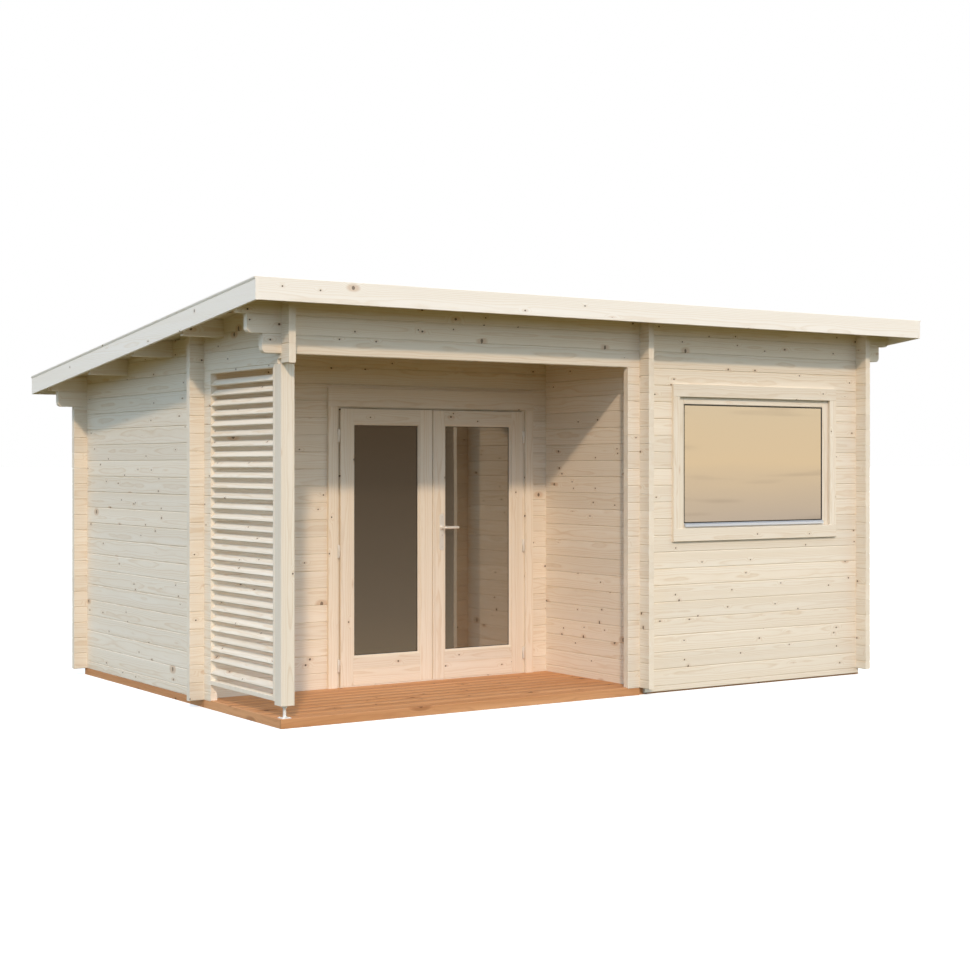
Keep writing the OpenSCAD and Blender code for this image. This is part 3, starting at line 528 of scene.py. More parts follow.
# turns what was modelled into a finished piece; smooth is the angle up to which edges are rounded over
def meshPiece(bm, name, material, body, replaced=(), smooth=None, merge=True):
    if merge:
        bmesh.ops.remove_doubles(bm, verts=bm.verts, dist=0.00001)
    bmesh.ops.recalc_face_normals(bm, faces=bm.faces)
    mesh = bpy.data.meshes.new(name)
    bm.to_mesh(mesh)
    bm.free()
    mesh.materials.append(material)
    if smooth:
        mesh.polygons.foreach_set("use_smooth", [True] * len(mesh.polygons))
        mesh.set_sharp_from_angle(angle=math.radians(smooth))
    return finishPiece(addObject(name, mesh), body, replaced)


# the boards of one piece stay separate solids, so their corners aren't merged
def finishTimber(timber, name, replaced=(), material=planedSpruce, body="cabin"):
    return meshPiece(timber["bm"], name, material, body, replaced, merge=False)


thick = logs["thick"]
leftX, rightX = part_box("left_wall")[0].x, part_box("right_wall")[1].x - thick
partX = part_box("partition_wall")[0].x
frontY, backY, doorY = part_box("front_wall")[0].y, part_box("back_wall")[0].y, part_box("door_wall_left")[0].y
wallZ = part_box("back_wall")[0].z
stubY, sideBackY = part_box("left_wall")[0].y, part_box("left_wall")[1].y
headFrontY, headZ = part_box("left_header")[0].y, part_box("left_header")[0].z
frontCourses = round((roofZ(frontY) - wallZ) / logs["height"])
backCourses = round((roofZ(backY + thick) - wallZ) / logs["height"])
beamFirst = round((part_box("front_beam")[0].z - wallZ) / logs["height"])


# courses of a wall along X; holes are (x0, x1, z0, z1), and reach gives a course's own two ends and
# whether each is rounded
def addCourses(timber, first, last, x0, x1, y, crossings, holes=(), reach=None):
    for k in range(first, last + 1):
        low = wallZ + k * logs["height"]
        high = low + logs["height"]
        a, b, roundA, roundB = (reach or {}).get(k, (x0, x1, False, False))
        runs = [(a, b, low, high)]
        for hx0, hx1, hz0, hz1 in holes:
            if hz0 < high - 0.002 and hz1 > low + 0.002:
                rest = []
                for ra, rb, rl, rh in runs:
                    rest += [(ra, hx0, rl, rh), (hx1, rb, rl, rh)]
                    if hz0 > rl + 0.012:
                        rest.append((hx0, hx1, rl, hz0))
                    if hz1 < rh - 0.012:
                        rest.append((hx0, hx1, hz1, rh))
                runs = rest
        for ra, rb, rl, rh in runs:
            addLog(timber, 0, ra, rb, rl, rh, y, crossings, roundA and ra == a, roundB and rb == b)


outL, outR = leftX, rightX + thick                       # outer faces of the side walls
eaveL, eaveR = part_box("back_wall")[0].x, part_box("back_wall")[1].x
step1, step2 = logs["firstStep"], logs["secondStep"]

steppedEnds = {backCourses - 2: (outL - step2, outR + step2, True, True),
               backCourses - 1: (eaveL, eaveR, True, True)}
timber = newTimber()
addCourses(timber, 0, backCourses - 1, outL - logs["end"], outR + logs["end"], backY, (leftX, rightX),
           reach=steppedEnds)
finishTimber(timber, "backWallLogs", ["back_wall"])

timber = newTimber()
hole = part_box("window_frame")
addCourses(timber, 0, beamFirst - 1, partX - logs["end"], outR + logs["end"], frontY, (partX, rightX),
           holes=[(hole[0].x, hole[1].x, hole[0].z, hole[1].z)])
finishTimber(timber, "frontWallLogs", ["front_wall"])

steppedEnds = {beamFirst: (outL - step1, outR + logs["end"], True, False),
               beamFirst + 1: (outL - step2, outR + step2 - step1 + logs["end"], True, True),
               beamFirst + 2: (eaveL, eaveR, True, True)}
timber = newTimber()
addCourses(timber, beamFirst, frontCourses - 1, outL - logs["end"], outR + logs["end"], frontY,
           (leftX, partX, rightX), reach=steppedEnds)
finishTimber(timber, "frontBeamLogs", ["front_beam"])

timber = newTimber()
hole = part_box("door_frame")
addCourses(timber, 0, frontCourses - 1, outL - logs["end"], partX + thick + logs["end"], doorY,
           (leftX, partX), holes=[(hole[0].x, hole[1].x, hole[0].z, hole[1].z)])
finishTimber(timber, "doorWallLogs", ["door_wall_left", "door_wall_right", "door_wall_over"])


# courses of a wall along Y, half a log lower; under lowestLong they start at shortY
def addSideCourses(timber, x, y0, y1, crossings, shortY=None, lowestLong=0.0):
    for k in range(frontCourses + 1):
        low = wallZ + max(0.0, (k - 0.5) * logs["height"])
        high = wallZ + (k + 0.5) * logs["height"]
        start = y0 if shortY is None or low > lowestLong - 0.002 else shortY
        addLog(timber, 1, start, y1, low, high, x, crossings)


timber = newTimber()
addSideCourses(timber, leftX, headFrontY, sideBackY, (frontY, doorY, backY), stubY, headZ)
finishTimber(timber, "leftWallLogs", ["left_wall", "left_header"])
timber = newTimber()
addSideCourses(timber, rightX, headFrontY, sideBackY, (frontY, backY))
finishTimber(timber, "rightWallLogs", ["right_wall"])
timber = newTimber()
addSideCourses(timber, partX, headFrontY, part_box("partition_wall")[1].y, (frontY, doorY))
finishTimber(timber, "partitionLogs", ["partition_wall"])
print("log walls ready")


# a plain board that fills a CAD node's box
def addWhole(timber, node, axis, ease=0.002):
    low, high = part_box(node)
    addBoard(timber, low, high, axis, ease)


timber = newTimber()
addWhole(timber, "corner_post", 2, 0.004)
finishTimber(timber, "cornerPost", ["corner_post"])

timber = newTimber()
for node in ("purlin_front", "purlin_middle", "purlin_back"):
    low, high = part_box(node)
    addBar(timber, 0, [(low.x, low.z, high.z, 0.003), (high.x, low.z, high.z, 0.003)], low.y, high.y)
finishTimber(timber, "purlins", ["purlin_front", "purlin_middle", "purlin_back"])

fascia = {"thick": 0.019, "height": 0.133, "rise": 0.037, "stripThick": 0.006, "stripHeight": 0.015}
timber = newTimber()
addWhole(timber, "front_fascia", 0)
finishTimber(timber, "frontFascia", ["front_fascia"], material=paleSpruce)
timber = newTimber()
low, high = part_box("back_fascia")
addBoard(timber, low, high, 0)
finishTimber(timber, "backFascia", ["back_fascia"], material=paleSpruce)
for side, node in ((-1, "left_fascia"), (1, "right_fascia")):
    low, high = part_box(node)
    outer = low.x if side < 0 else high.x
    face = outer - side * fascia["stripThick"]
    inner = face - side * fascia["thick"]
    rise, drop = fascia["rise"], fascia["stripHeight"]
    timber = newTimber()
    ends = [(y, roofZ(y) + rise - fascia["height"], roofZ(y) + rise, 0.0015) for y in (low.y, high.y)]
    addBar(timber, 1, ends, min(inner, face), max(inner, face), underRoof=False)
    strip = [(0.0, 0.0), (1.0, 0.0), (1.0, -0.006), (0.25, -drop), (0.0, -drop)]
    addRings(timber, [[Vector((face + (outer - face) * d, y, roofZ(y) + rise + z)) for d, z in strip]
                      for y in (low.y, high.y)], 1)
    finishTimber(timber, node.replace("_fascia", "Fascia"), [node], material=paleSpruce)
print("post, purlins and fascias ready")


# one board along its own X, repeated: each copy gets its own stretch of grain and its own tone
def rowTree():
    tree = bpy.data.node_groups.new("boardRow", "GeometryNodeTree")
    sockets = [("Count", "Int"), ("Length", "Float"), ("Width", "Float"), ("Thickness", "Float"),
               ("Edge", "Float"), ("Start", "Vector"), ("Step", "Vector"), ("Turn", "Vector"),
               ("Last Drop", "Vector"), ("Seed", "Int"), ("Material", "Material")]
    tree.interface.new_socket("Geometry", in_out="OUTPUT", socket_type="NodeSocketGeometry")
    for name, kind in sockets:
        tree.interface.new_socket(name, in_out="INPUT", socket_type="NodeSocket" + kind)
    given = addNode(tree, "NodeGroupInput").outputs
    outline = addNode(tree, "GeometryNodeCurvePrimitiveQuadrilateral", {
        "Width": given["Width"], "Height": given["Thickness"]})
    eased = addNode(tree, "GeometryNodeFilletCurve", {"Curve": outline, "Radius": given["Edge"]})
    halfLength = addNode(tree, "ShaderNodeMath", {0: given["Length"], 1: 0.5}, operation="MULTIPLY")
    minusHalf = addNode(tree, "ShaderNodeMath", {0: halfLength, 1: -1.0}, operation="MULTIPLY")
    start = addNode(tree, "ShaderNodeCombineXYZ", {0: minusHalf})
    end = addNode(tree, "ShaderNodeCombineXYZ", {0: halfLength})
    path = addNode(tree, "GeometryNodeCurvePrimitiveLine", {"Start": start, "End": end})
    board = addNode(tree, "GeometryNodeCurveToMesh", {
        "Curve": path, "Profile Curve": eased, "Fill Caps": True})
    place = addNode(tree, "GeometryNodeInputPosition")
    normal = addNode(tree, "ShaderNodeSeparateXYZ", {0: addNode(tree, "GeometryNodeInputNormal")})
    facing = addNode(tree, "ShaderNodeMath", {0: normal}, operation="ABSOLUTE")
    onEnd = addNode(tree, "ShaderNodeMath", {0: facing, 1: 0.9}, operation="GREATER_THAN")
    for name, value, kind, domain in (("cut", onEnd, "FLOAT", "FACE"),
                                      ("grain", place, "FLOAT_VECTOR", "POINT")):
        board = addNode(tree, "GeometryNodeStoreNamedAttribute", {
            "Geometry": board, "Name": name, "Value": value}, data_type=kind, domain=domain)
    line = addNode(tree, "GeometryNodeMeshLine", {
        "Count": given["Count"], "Start Location": given["Start"], "Offset": given["Step"]},
        mode="OFFSET")
    index = addNode(tree, "GeometryNodeInputIndex")
    lastOne = addNode(tree, "ShaderNodeMath", {0: given["Count"], 1: 1.0}, operation="SUBTRACT")
    isLast = addNode(tree, "FunctionNodeCompare", {
        0: index, 1: lastOne}, data_type="FLOAT", operation="GREATER_EQUAL")
    moved = addNode(tree, "GeometryNodeSetPosition", {
        "Geometry": line, "Selection": isLast, "Offset": given["Last Drop"]})
    turn = addNode(tree, "FunctionNodeEulerToRotation", {0: given["Turn"]})
    copies = addNode(tree, "GeometryNodeInstanceOnPoints", {
        "Points": moved, "Instance": board, "Rotation": turn})
    slide = addNode(tree, "FunctionNodeRandomValue", {
        0: (0.0, -0.03, -0.12), 1: (40.0, 0.03, -0.06), "Seed": given["Seed"]}, data_type="FLOAT_VECTOR")
    toneValue = addNode(tree, "FunctionNodeRandomValue", {"Seed": given["Seed"]}, data_type="FLOAT")
    for name, value, kind in (("slide", slide, "FLOAT_VECTOR"), ("tone", toneValue.outputs[1], "FLOAT")):
        copies = addNode(tree, "GeometryNodeStoreNamedAttribute", {
            "Geometry": copies, "Name": name, "Value": value}, data_type=kind, domain="INSTANCE")
    real = addNode(tree, "GeometryNodeRealizeInstances", {0: copies})
    oldGrain = addNode(tree, "GeometryNodeInputNamedAttribute", {
        "Name": "grain"}, data_type="FLOAT_VECTOR")
    ownSlide = addNode(tree, "GeometryNodeInputNamedAttribute", {
        "Name": "slide"}, data_type="FLOAT_VECTOR")
    total = addNode(tree, "ShaderNodeVectorMath", {0: oldGrain, 1: ownSlide}, operation="ADD")
    grained = addNode(tree, "GeometryNodeStoreNamedAttribute", {
        "Geometry": real, "Name": "grain", "Value": total}, data_type="FLOAT_VECTOR")
    painted = addNode(tree, "GeometryNodeSetMaterial", {
        "Geometry": grained, "Material": given["Material"]})
    addNode(tree, "NodeGroupOutput", {0: painted})
    return tree


boardRow = rowTree()


# runs a node tree with these inputs and keeps the result as a plain mesh
def growPiece(name, tree, inputs, body, replaced=(), points=()):
    host = addObject(name + "Host", bpy.data.meshes.new(name + "Host"))
    host.data.from_pydata(points, [], [])
    modifier = host.modifiers.new("grow", "NODES")
    modifier.node_group = tree
    for item in tree.interface.items_tree:
        if item.in_out == "INPUT" and item.name in inputs:
            modifier[item.identifier] = inputs[item.name]
    bpy.context.view_layer.update()
    evaluated = host.evaluated_get(bpy.context.evaluated_depsgraph_get())
    mesh = bpy.data.meshes.new_from_object(evaluated)
    mesh.name = name
    bpy.data.objects.remove(host)
    return finishPiece(addObject(name, mesh), body, replaced)


slats = {"pitch": 0.065, "width": 0.050, "thick": 0.012, "edge": 0.0015, "tilt": 45}
low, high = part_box("louvre_slats")
halfHigh = (slats["width"] + slats["thick"]) / 2 * math.sin(math.radians(slats["tilt"]))
top, foot = high.z - halfHigh, low.z + halfHigh
rows = math.floor((top - foot) / slats["pitch"])
drop = foot - (top - rows * slats["pitch"])
growPiece("louvreSlats", boardRow, {
    "Count": rows + 1, "Length": high.y - low.y, "Width": slats["width"], "Thickness": slats["thick"],
    "Edge": slats["edge"], "Start": ((low.x + high.x) / 2, (low.y + high.y) / 2, top),
    "Step": (0.0, 0.0, -slats["pitch"]), "Turn": (-math.radians(slats["tilt"]), 0.0, math.radians(90)),
    "Last Drop": (0.0, 0.0, drop), "Seed": 3, "Material": planedSpruce},
    "cabin", ["louvre_slats"])

roofBoards = {"width": 0.096, "gap": 0.0005, "edge": 0.004}
slope = math.atan(roofFall)
low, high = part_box("roof_boards")
count = round((high.x - low.x) / roofBoards["width"])
pitch = (high.x - low.x) / count
middleY = (low.y + high.y) / 2
growPiece("roofBoarding", boardRow, {
    "Count": count, "Length": (high.y - low.y - 0.003) / math.cos(slope),
    "Width": pitch - roofBoards["gap"], "Thickness": roofThick * math.cos(slope) - 0.0005,
    "Edge": roofBoards["edge"], "Start": (low.x + pitch / 2, middleY, roofZ(middleY) + roofThick / 2),
    "Step": (pitch, 0.0, 0.0), "Turn": (0.0, slope, math.radians(90)), "Seed": 5,
    "Material": planedSpruce}, "cabin", ["roof_boards"])

floorBoards = {"width": 0.096, "gap": 0.0005, "edge": 0.002}
low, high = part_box("cabin_floor")
for name, x0, x1, y0, y1, seed in (("mainFloorBoards", low.x, high.x, doorY + thick, high.y, 21),
                                   ("frontFloorBoards", partX + thick, high.x, low.y, doorY + thick, 22)):
    count = round((y1 - y0) / floorBoards["width"])
    pitch = (y1 - y0) / count
    growPiece(name, boardRow, {
        "Count": count, "Length": x1 - x0, "Width": pitch - floorBoards["gap"],
        "Thickness": high.z - low.z, "Edge": floorBoards["edge"],
        "Start": ((x0 + x1) / 2, y0 + pitch / 2, (low.z + high.z) / 2), "Step": (0.0, pitch, 0.0),
        "Seed": seed, "Material": planedSpruce}, "cabin", ["cabin_floor"])
print("slats, roof boards and floor boards ready")


# cuts every corner of an outline by the same small amount
def easeCorners(outline, ease):
    eased = []
    for i, (u, v) in enumerate(outline):
        for pu, pv in (outline[i - 1], outline[(i + 1) % len(outline)]):
            far = math.hypot(pu - u, pv - v)
            eased.append((u + (pu - u) * ease / far, v + (pv - v) * ease / far))
    return eased


# a straight length of any outline, drawn across the grain axis
def addProfile(timber, axis, outline, s0, s1, ease=0.0015):
    u, v = [i for i in range(3) if i != axis]
    rings = []
    for s in (s0, s1):
        ring = []
        for a, b in easeCorners(outline, ease):
            p = [0, 0, 0]
            p[axis], p[u], p[v] = s, a, b
            ring.append(Vector(p))
        rings.append(ring)
    addRings(timber, rings, axis)


# four mitred lengths round an upright rectangle; the profile runs from its outer edge inwards
def addMitred(timber, x0, x1, z0, z1, profile):
    def ring(cx, cz, sx, sz):
        return [Vector((cx + sx * d, y, cz + sz * d)) for d, y in profile]
    for axis, ends in ((0, ((x0, z0, 1, 1), (x1, z0, -1, 1))), (0, ((x0, z1, 1, -1), (x1, z1, -1, -1))),
                       (2, ((x0, z0, 1, 1), (x0, z1, 1, -1))), (2, ((x1, z0, -1, 1), (x1, z1, -1, -1)))):
        addRings(timber, [ring(*e) for e in ends], axis)


base = {"beam": 0.045, "joist": 0.045, "bay": 0.52, "floor": 0.020}
low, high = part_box("foundation_frame")
wide = base["beam"]


def addJoists(timber, x0, x1, y0, y1, z1):
    bays = math.ceil((x1 - x0) / base["bay"] - 1e-6)
    places = [x0 + (x1 - x0) * i / bays for i in range(1, bays)]
    for x in places:
        addBoard(timber, (x - base["joist"] / 2, y0, 0), (x + base["joist"] / 2, y1, z1), 1)
    return places


timber = newTimber()
addBoard(timber, (low.x, doorY, 0), (low.x + wide, high.y, high.z), 1)
addBoard(timber, (low.x + wide, high.y - wide, 0), (high.x - wide, high.y, high.z), 0)
addBoard(timber, (high.x - wide, low.y, 0), (high.x, high.y, high.z), 1)
addBoard(timber, (partX + wide, low.y, 0), (high.x - wide, low.y + wide, high.z), 0)
addBoard(timber, (partX, low.y, 0), (partX + wide, doorY + wide, high.z), 1)
addBoard(timber, (low.x + wide, doorY, 0), (partX, doorY + wide, high.z), 0)
addJoists(timber, low.x + wide, high.x - wide, doorY + wide, high.y - wide, high.z - base["floor"])
addJoists(timber, partX + wide, high.x - wide, low.y + wide, doorY + wide, high.z - base["floor"])
finishTimber(timber, "foundationBeams", ["foundation_frame"], material=treatedPine)

timber = newTimber()
addWhole(timber, "front_starter", 0)
finishTimber(timber, "starterStrip", ["front_starter"])

terrace = {"rim": 0.020, "board": 0.115, "gap": 0.003, "edge": 0.0008}
low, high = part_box("terrace_frame")
boardLow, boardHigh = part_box("terrace_boards")
rim, notchX, notchY = terrace["rim"], partX - logs["end"], frontY + thick
timber = newTimber()
addBar(timber, 0, [(low.x, 0, high.z, 0.002), (notchX, 0, high.z, 0.002), (notchX, 0, wallZ, 0.002),
                   (high.x, 0, wallZ, 0.002)], low.y, low.y + rim, False)
addBar(timber, 1, [(low.y + rim, 0, high.z, 0.002), (stubY, 0, high.z, 0.002), (stubY, 0, wallZ, 0.002),
                   (high.y, 0, wallZ, 0.002)], low.x, low.x + rim, False)
addBar(timber, 1, [(low.y + rim, 0, wallZ, 0.002), (notchY, 0, wallZ, 0.002), (notchY, 0, high.z, 0.002),
                   (high.y, 0, high.z, 0.002)], high.x - rim, high.x, False)
addBoard(timber, (low.x + rim, high.y - rim, 0), (high.x - rim, high.y, boardLow.z), 0)
deckJoists = addJoists(timber, low.x, high.x, low.y + rim, high.y - rim, boardLow.z)
finishTimber(timber, "terraceFrame", ["terrace_frame"], material=treatedPine)

# the first and the last board are notched round the log ends, so only the ones between are a plain row
y0, y1 = low.y + rim, high.y
count = math.floor((y1 - y0 + terrace["gap"]) / (terrace["board"] + terrace["gap"]))
pitch = (y1 - y0) / count
wide = pitch - terrace["gap"]
growPiece("terraceBoards", boardRow, {
    "Count": count - 2, "Length": boardHigh.x - boardLow.x, "Width": wide,
    "Thickness": boardHigh.z - boardLow.z, "Edge": terrace["edge"],
    "Start": ((boardLow.x + boardHigh.x) / 2, y0 + pitch + wide / 2, (boardLow.z + boardHigh.z) / 2),
    "Step": (0.0, pitch, 0.0), "Seed": 8, "Material": treatedPine},
    "cabin", ["terrace_boards"])
timber = newTimber()
boardZ = (boardLow.z, boardHigh.z)
frontBoard = [(boardLow.x, y0), (notchX, y0), (notchX, notchY), (boardHigh.x, notchY),
              (boardHigh.x, y0 + wide), (boardLow.x, y0 + wide)]
lastY = y0 + (count - 1) * pitch
notchLeft = leftX + thick
lastBoard = [(boardLow.x, lastY), (boardHigh.x, lastY), (boardHigh.x, lastY + wide),
             (notchLeft, lastY + wide), (notchLeft, stubY), (boardLow.x, stubY)]
if stubY < lastY:
    lastBoard = [(notchLeft, lastY), (boardHigh.x, lastY), (boardHigh.x, lastY + wide),
                 (notchLeft, lastY + wide)]


# a board cut to a plan outline, its upper edges eased; the grain runs along X
def addPlanBoard(timber, outline, z0, z1, ease):
    inner = []
    for i, (x, y) in enumerate(outline):
        (ax, ay), (bx, by) = outline[i - 1], outline[(i + 1) % len(outline)]
        normals = [((y - ay), -(x - ax)), ((by - y), -(bx - x))]
        dx = sum(n[0] / math.hypot(*n) for n in normals)
        dy = sum(n[1] / math.hypot(*n) for n in normals)
        inner.append((x - dx * ease, y - dy * ease))
    start = len(timber["bm"].faces)
    addRings(timber, [[Vector((x, y, z0)) for x, y in outline],
                      [Vector((x, y, z1 - ease)) for x, y in outline],
                      [Vector((x, y, z1)) for x, y in inner]], 2)
    timber["bm"].faces.ensure_lookup_table()
    for face in timber["bm"].faces[start:]:
        face.normal_update()
        face[timber["cut"]] = 1.0 if abs(face.normal.x) > 0.9 else 0.0
    slide = random.uniform(0, 40)
    for v in {v for face in timber["bm"].faces[start:] for v in face.verts}:
        v[timber["grain"]] = Vector((v.co.x + slide, v.co.y - outline[0][1] - 0.05, v.co.z + 0.08))


addPlanBoard(timber, frontBoard, *boardZ, terrace["edge"])
addPlanBoard(timber, lastBoard, *boardZ, terrace["edge"])
finishTimber(timber, "terraceEndBoards", ["terrace_boards"], material=treatedPine)
print("foundation and terrace ready")


door = {"jamb": 0.054, "stop": 0.015, "sill": 0.0155, "trimSide": 0.068, "trimTop": 0.128,
        "stile": 0.111, "kick": 0.090, "bead": 0.014, "beadSet": 0.006, "astragal": 0.024,
        "lip": 0.0042, "lipSet": 0.003, "tape": 0.004}
low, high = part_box("door_frame")
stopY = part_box("left_door_leaf")[1].y + 0.005
j, s = door["jamb"], door["stop"]
timber = newTimber()
for outer, inward in ((low.x, 1), (high.x, -1)):
    addProfile(timber, 2, [(outer, low.y), (outer + inward * j, low.y), (outer + inward * j, stopY),
                           (outer + inward * (j + s), stopY), (outer + inward * (j + s), high.y),
                           (outer, high.y)], low.z, high.z)
addProfile(timber, 0, [(low.y, high.z - j), (stopY, high.z - j), (stopY, high.z - j - s),
                       (high.y, high.z - j - s), (high.y, high.z), (low.y, high.z)], low.x + j, high.x - j)
addBoard(timber, (low.x + j, low.y, low.z), (high.x - j, high.y, low.z + door["sill"]), 0)
finishTimber(timber, "doorFrame", ["door_frame"])

# a strip on the terrace boards that closes the recess under the leaves
timber = newTimber()
addBoard(timber, (low.x + j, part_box("left_door_leaf")[0].y + 0.001,
                  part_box("terrace_boards")[1].z + 0.0002),
         (high.x - j, low.y - 0.0002, low.z + door["sill"]), 0, 0.001)
finishTimber(timber, "thresholdStrip")

for node, name in (("door_trim_outside", "doorTrimOutside"), ("door_trim_inside", "doorTrimInside")):
    low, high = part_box(node)
    side, top = door["trimSide"], high.z - door["trimTop"]
    timber = newTimber()
    addBoard(timber, (low.x, low.y, low.z), (low.x + side, high.y, top), 2, 0.002)
    addBoard(timber, (high.x - side, low.y, low.z), (high.x, high.y, top), 2, 0.002)
    addBoard(timber, (low.x, low.y, top), (high.x, high.y, high.z), 0, 0.002)
    finishTimber(timber, name, [node])

leafLow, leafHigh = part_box("left_door_leaf")
faceY, rearY = leafLow.y, leafHigh.y
glassLow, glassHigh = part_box("left_door_glass")
for hand, node in (("left", "left_door_leaf"), ("right", "right_door_leaf")):
    low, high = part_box(node)
    w, b, set0 = door["stile"], door["bead"], door["beadSet"]
    in0, in1 = low.x + w - b, high.x - w + b
    railTop, kickTop = low.z + w, low.z + w + door["kick"] - b
    timber = newTimber()
    addBoard(timber, (low.x, faceY, low.z), (in0, rearY, high.z), 2)
    addBoard(timber, (in1, faceY, low.z), (high.x, rearY, high.z), 2)
    addBoard(timber, (in0, faceY, high.z - w + b), (in1, rearY, high.z), 0)
    addBoard(timber, (in0, faceY, low.z), (in1, rearY, railTop), 0)
    addBoard(timber, (in0, faceY, railTop), (in1, rearY, kickTop), 0)
    addMitred(timber, in0, in1, kickTop, high.z - w + b, [
        (0, faceY + set0), (b * 0.6, faceY + set0), (b, faceY + set0 + 0.006), (b, rearY - set0 - 0.006),
        (b * 0.6, rearY - set0), (0, rearY - set0)])
    if hand == "right":
        addBoard(timber, (low.x, low.y, low.z), (low.x + door["astragal"], faceY, high.z), 2, 0.002)
    else:
        lip = newTimber()
        addBoard(lip, (high.x, faceY + door["lipSet"], low.z + 0.002),
                 (high.x + door["lip"], rearY - door["lipSet"], high.z - 0.002), 2, 0.0008)
        finishTimber(lip, "meetingLip", body="left_door")
    finishTimber(timber, hand + "DoorLeaf", [node], body=hand + "_door")

    # glazing tape on both faces of the pane
    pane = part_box(hand + "_door_glass")
    tape = door["tape"]
    timber = newTimber()
    for y, out in ((glassLow.y, -1), (glassHigh.y, 1)):
        addMitred(timber, pane[0].x, pane[1].x, pane[0].z, pane[1].z,
                  [(0, y), (tape, y), (tape * 0.7, y + out * 0.002), (0, y + out * 0.0025)])
    finishTimber(timber, hand + "GlazingTape", material=blackRubberAndHoleShade, body=hand + "_door")
print("door frame, trims and leaves ready")


window = {"sideTrim": 0.060, "topTrim": 0.088, "line": 0.022, "gasket": 0.008, "chamfer": 0.004,
          "sunk": 0.002}
low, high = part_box("window_frame")
paneLow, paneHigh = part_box("window_glass")
c = window["chamfer"]
timber = newTimber()
addProfile(timber, 2, [(low.x, low.y), (paneLow.x - c, low.y), (paneLow.x, low.y + c),
                       (paneLow.x, high.y), (low.x, high.y)], low.z, high.z)
addProfile(timber, 2, [(high.x, low.y), (paneHigh.x + c, low.y), (paneHigh.x, low.y + c),
                       (paneHigh.x, high.y), (high.x, high.y)], low.z, high.z)
addProfile(timber, 0, [(low.y, high.z), (low.y, paneHigh.z + c), (low.y + c, paneHigh.z),
                       (high.y, paneHigh.z), (high.y, high.z)], paneLow.x, paneHigh.x)
addBoard(timber, (paneLow.x, low.y, low.z), (paneHigh.x, high.y, paneLow.z), 0)
finishTimber(timber, "windowFrame", ["window_frame"])

timber = newTimber()
g = window["gasket"]
for y, out in ((paneLow.y, -1), (paneHigh.y, 1)):
    addMitred(timber, paneLow.x, paneHigh.x, paneLow.z, paneHigh.z,
              [(0, y), (g, y), (g * 0.8, y + out * 0.003), (0, y + out * 0.0035)])
finishTimber(timber, "windowGasket", material=blackRubberAndHoleShade)

for node, name in (("window_trim_outside", "windowTrimOutside"),
                   ("window_trim_inside", "windowTrimInside")):
    low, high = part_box(node)
    side, tall, line, deep = window["sideTrim"], window["topTrim"], window["line"], window["sunk"]
    timber = newTimber()
    addBoard(timber, (low.x, low.y, high.z - tall), (high.x, high.y, high.z), 0, 0.002)
    addBoard(timber, (low.x, low.y, low.z), (high.x, high.y, low.z + tall), 0, 0.002)
    face = low.y if "outside" in node else high.y
    back = high.y if "outside" in node else low.y
    sunk = face + (deep if "outside" in node else -deep)
    for outer, inward in ((low.x, 1), (high.x, -1)):
        outline = [(outer, face), (outer + inward * line, face), (outer + inward * (line + deep), sunk),
                   (outer + inward * side, sunk), (outer + inward * side, back), (outer, back)]
        addProfile(timber, 2, outline, low.z + tall, high.z - tall, 0.0008)
    finishTimber(timber, name, [node])


# joins closed rings of points into a skin with flat ends
def addSkin(bm, rings):
    made = [[bm.verts.new(p) for p in ring] for ring in rings]
    count = len(made[0])
    for a, b in zip(made, made[1:]):
        for i in range(count):
            k = (i + 1) % count
            bm.faces.new((a[i], a[k], b[k], b[i]))
    bm.faces.new(made[0])
    bm.faces.new(made[-1])


# drip profile of the bar under the glass: sloped top, rounded nose and a lip that throws the water off
low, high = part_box("window_bar")
nose, slopeDrop = 0.004, 0.006
slopeEnd = high.z - slopeDrop
outline = [(high.y, low.z + 0.002), (high.y, high.z), (high.y - 0.003, high.z), (low.y + nose, slopeEnd),
           (low.y + 0.001, slopeEnd - 0.002), (low.y, slopeEnd - nose), (low.y, low.z),
           (low.y + 0.002, low.z), (low.y + 0.002, low.z + 0.006), (low.y + 0.004, low.z + 0.009)]
bm = bmesh.new()
addSkin(bm, [[Vector((x, y, z)) for y, z in outline] for x in (low.x, high.x)])
meshPiece(bm, "weatherBar", barMetal, "cabin", ["window_bar"])
print("window ready")


louvre = {"lath": 0.020, "foot": 0.027}
low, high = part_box("louvre_frame")
timber = newTimber()
addBoard(timber, (low.x, low.y, low.z), (high.x, low.y + louvre["lath"], high.z), 2)
addBoard(timber, (low.x, low.y + louvre["lath"], high.z - louvre["lath"]), (high.x, high.y, high.z), 1)
addBoard(timber, (low.x, low.y + louvre["lath"], low.z), (high.x, high.y, low.z + louvre["foot"]), 1)
finishTimber(timber, "louvreFrame", ["louvre_frame"])


# a round bar along a path of points, closed at both ends; radii may change on the way
def addRound(bm, path, radii, sides=20):
    rings = []
    for i, p in enumerate(path):
        ahead = (path[min(i + 1, len(path) - 1)] - path[max(i - 1, 0)]).normalized()
        side = ahead.cross(Vector((0, 0, 1)))
        side = side.normalized() if side.length > 0.1 else Vector((1, 0, 0))
        up = side.cross(ahead)
        rings.append([p + radii[i] * (math.cos(t) * side + math.sin(t) * up)
                      for t in (2 * math.pi * k / sides for k in range(sides))])
    addSkin(bm, rings)


pinLow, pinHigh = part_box("door_hinge_pins")
hinge = {"half": 0.045, "play": 0.0005, "radius": 0.009, "knob": 0.005, "middle": 0.866, "back": 0.007,
         "tongue": 0.004}
hingeY = faceY + hinge["back"]
hingeX = {"left": pinLow.x + hinge["radius"], "right": pinHigh.x - hinge["radius"]}
hingeZ = (pinLow.z, leafLow.z + hinge["middle"], pinHigh.z - hinge["half"] + hinge["play"])


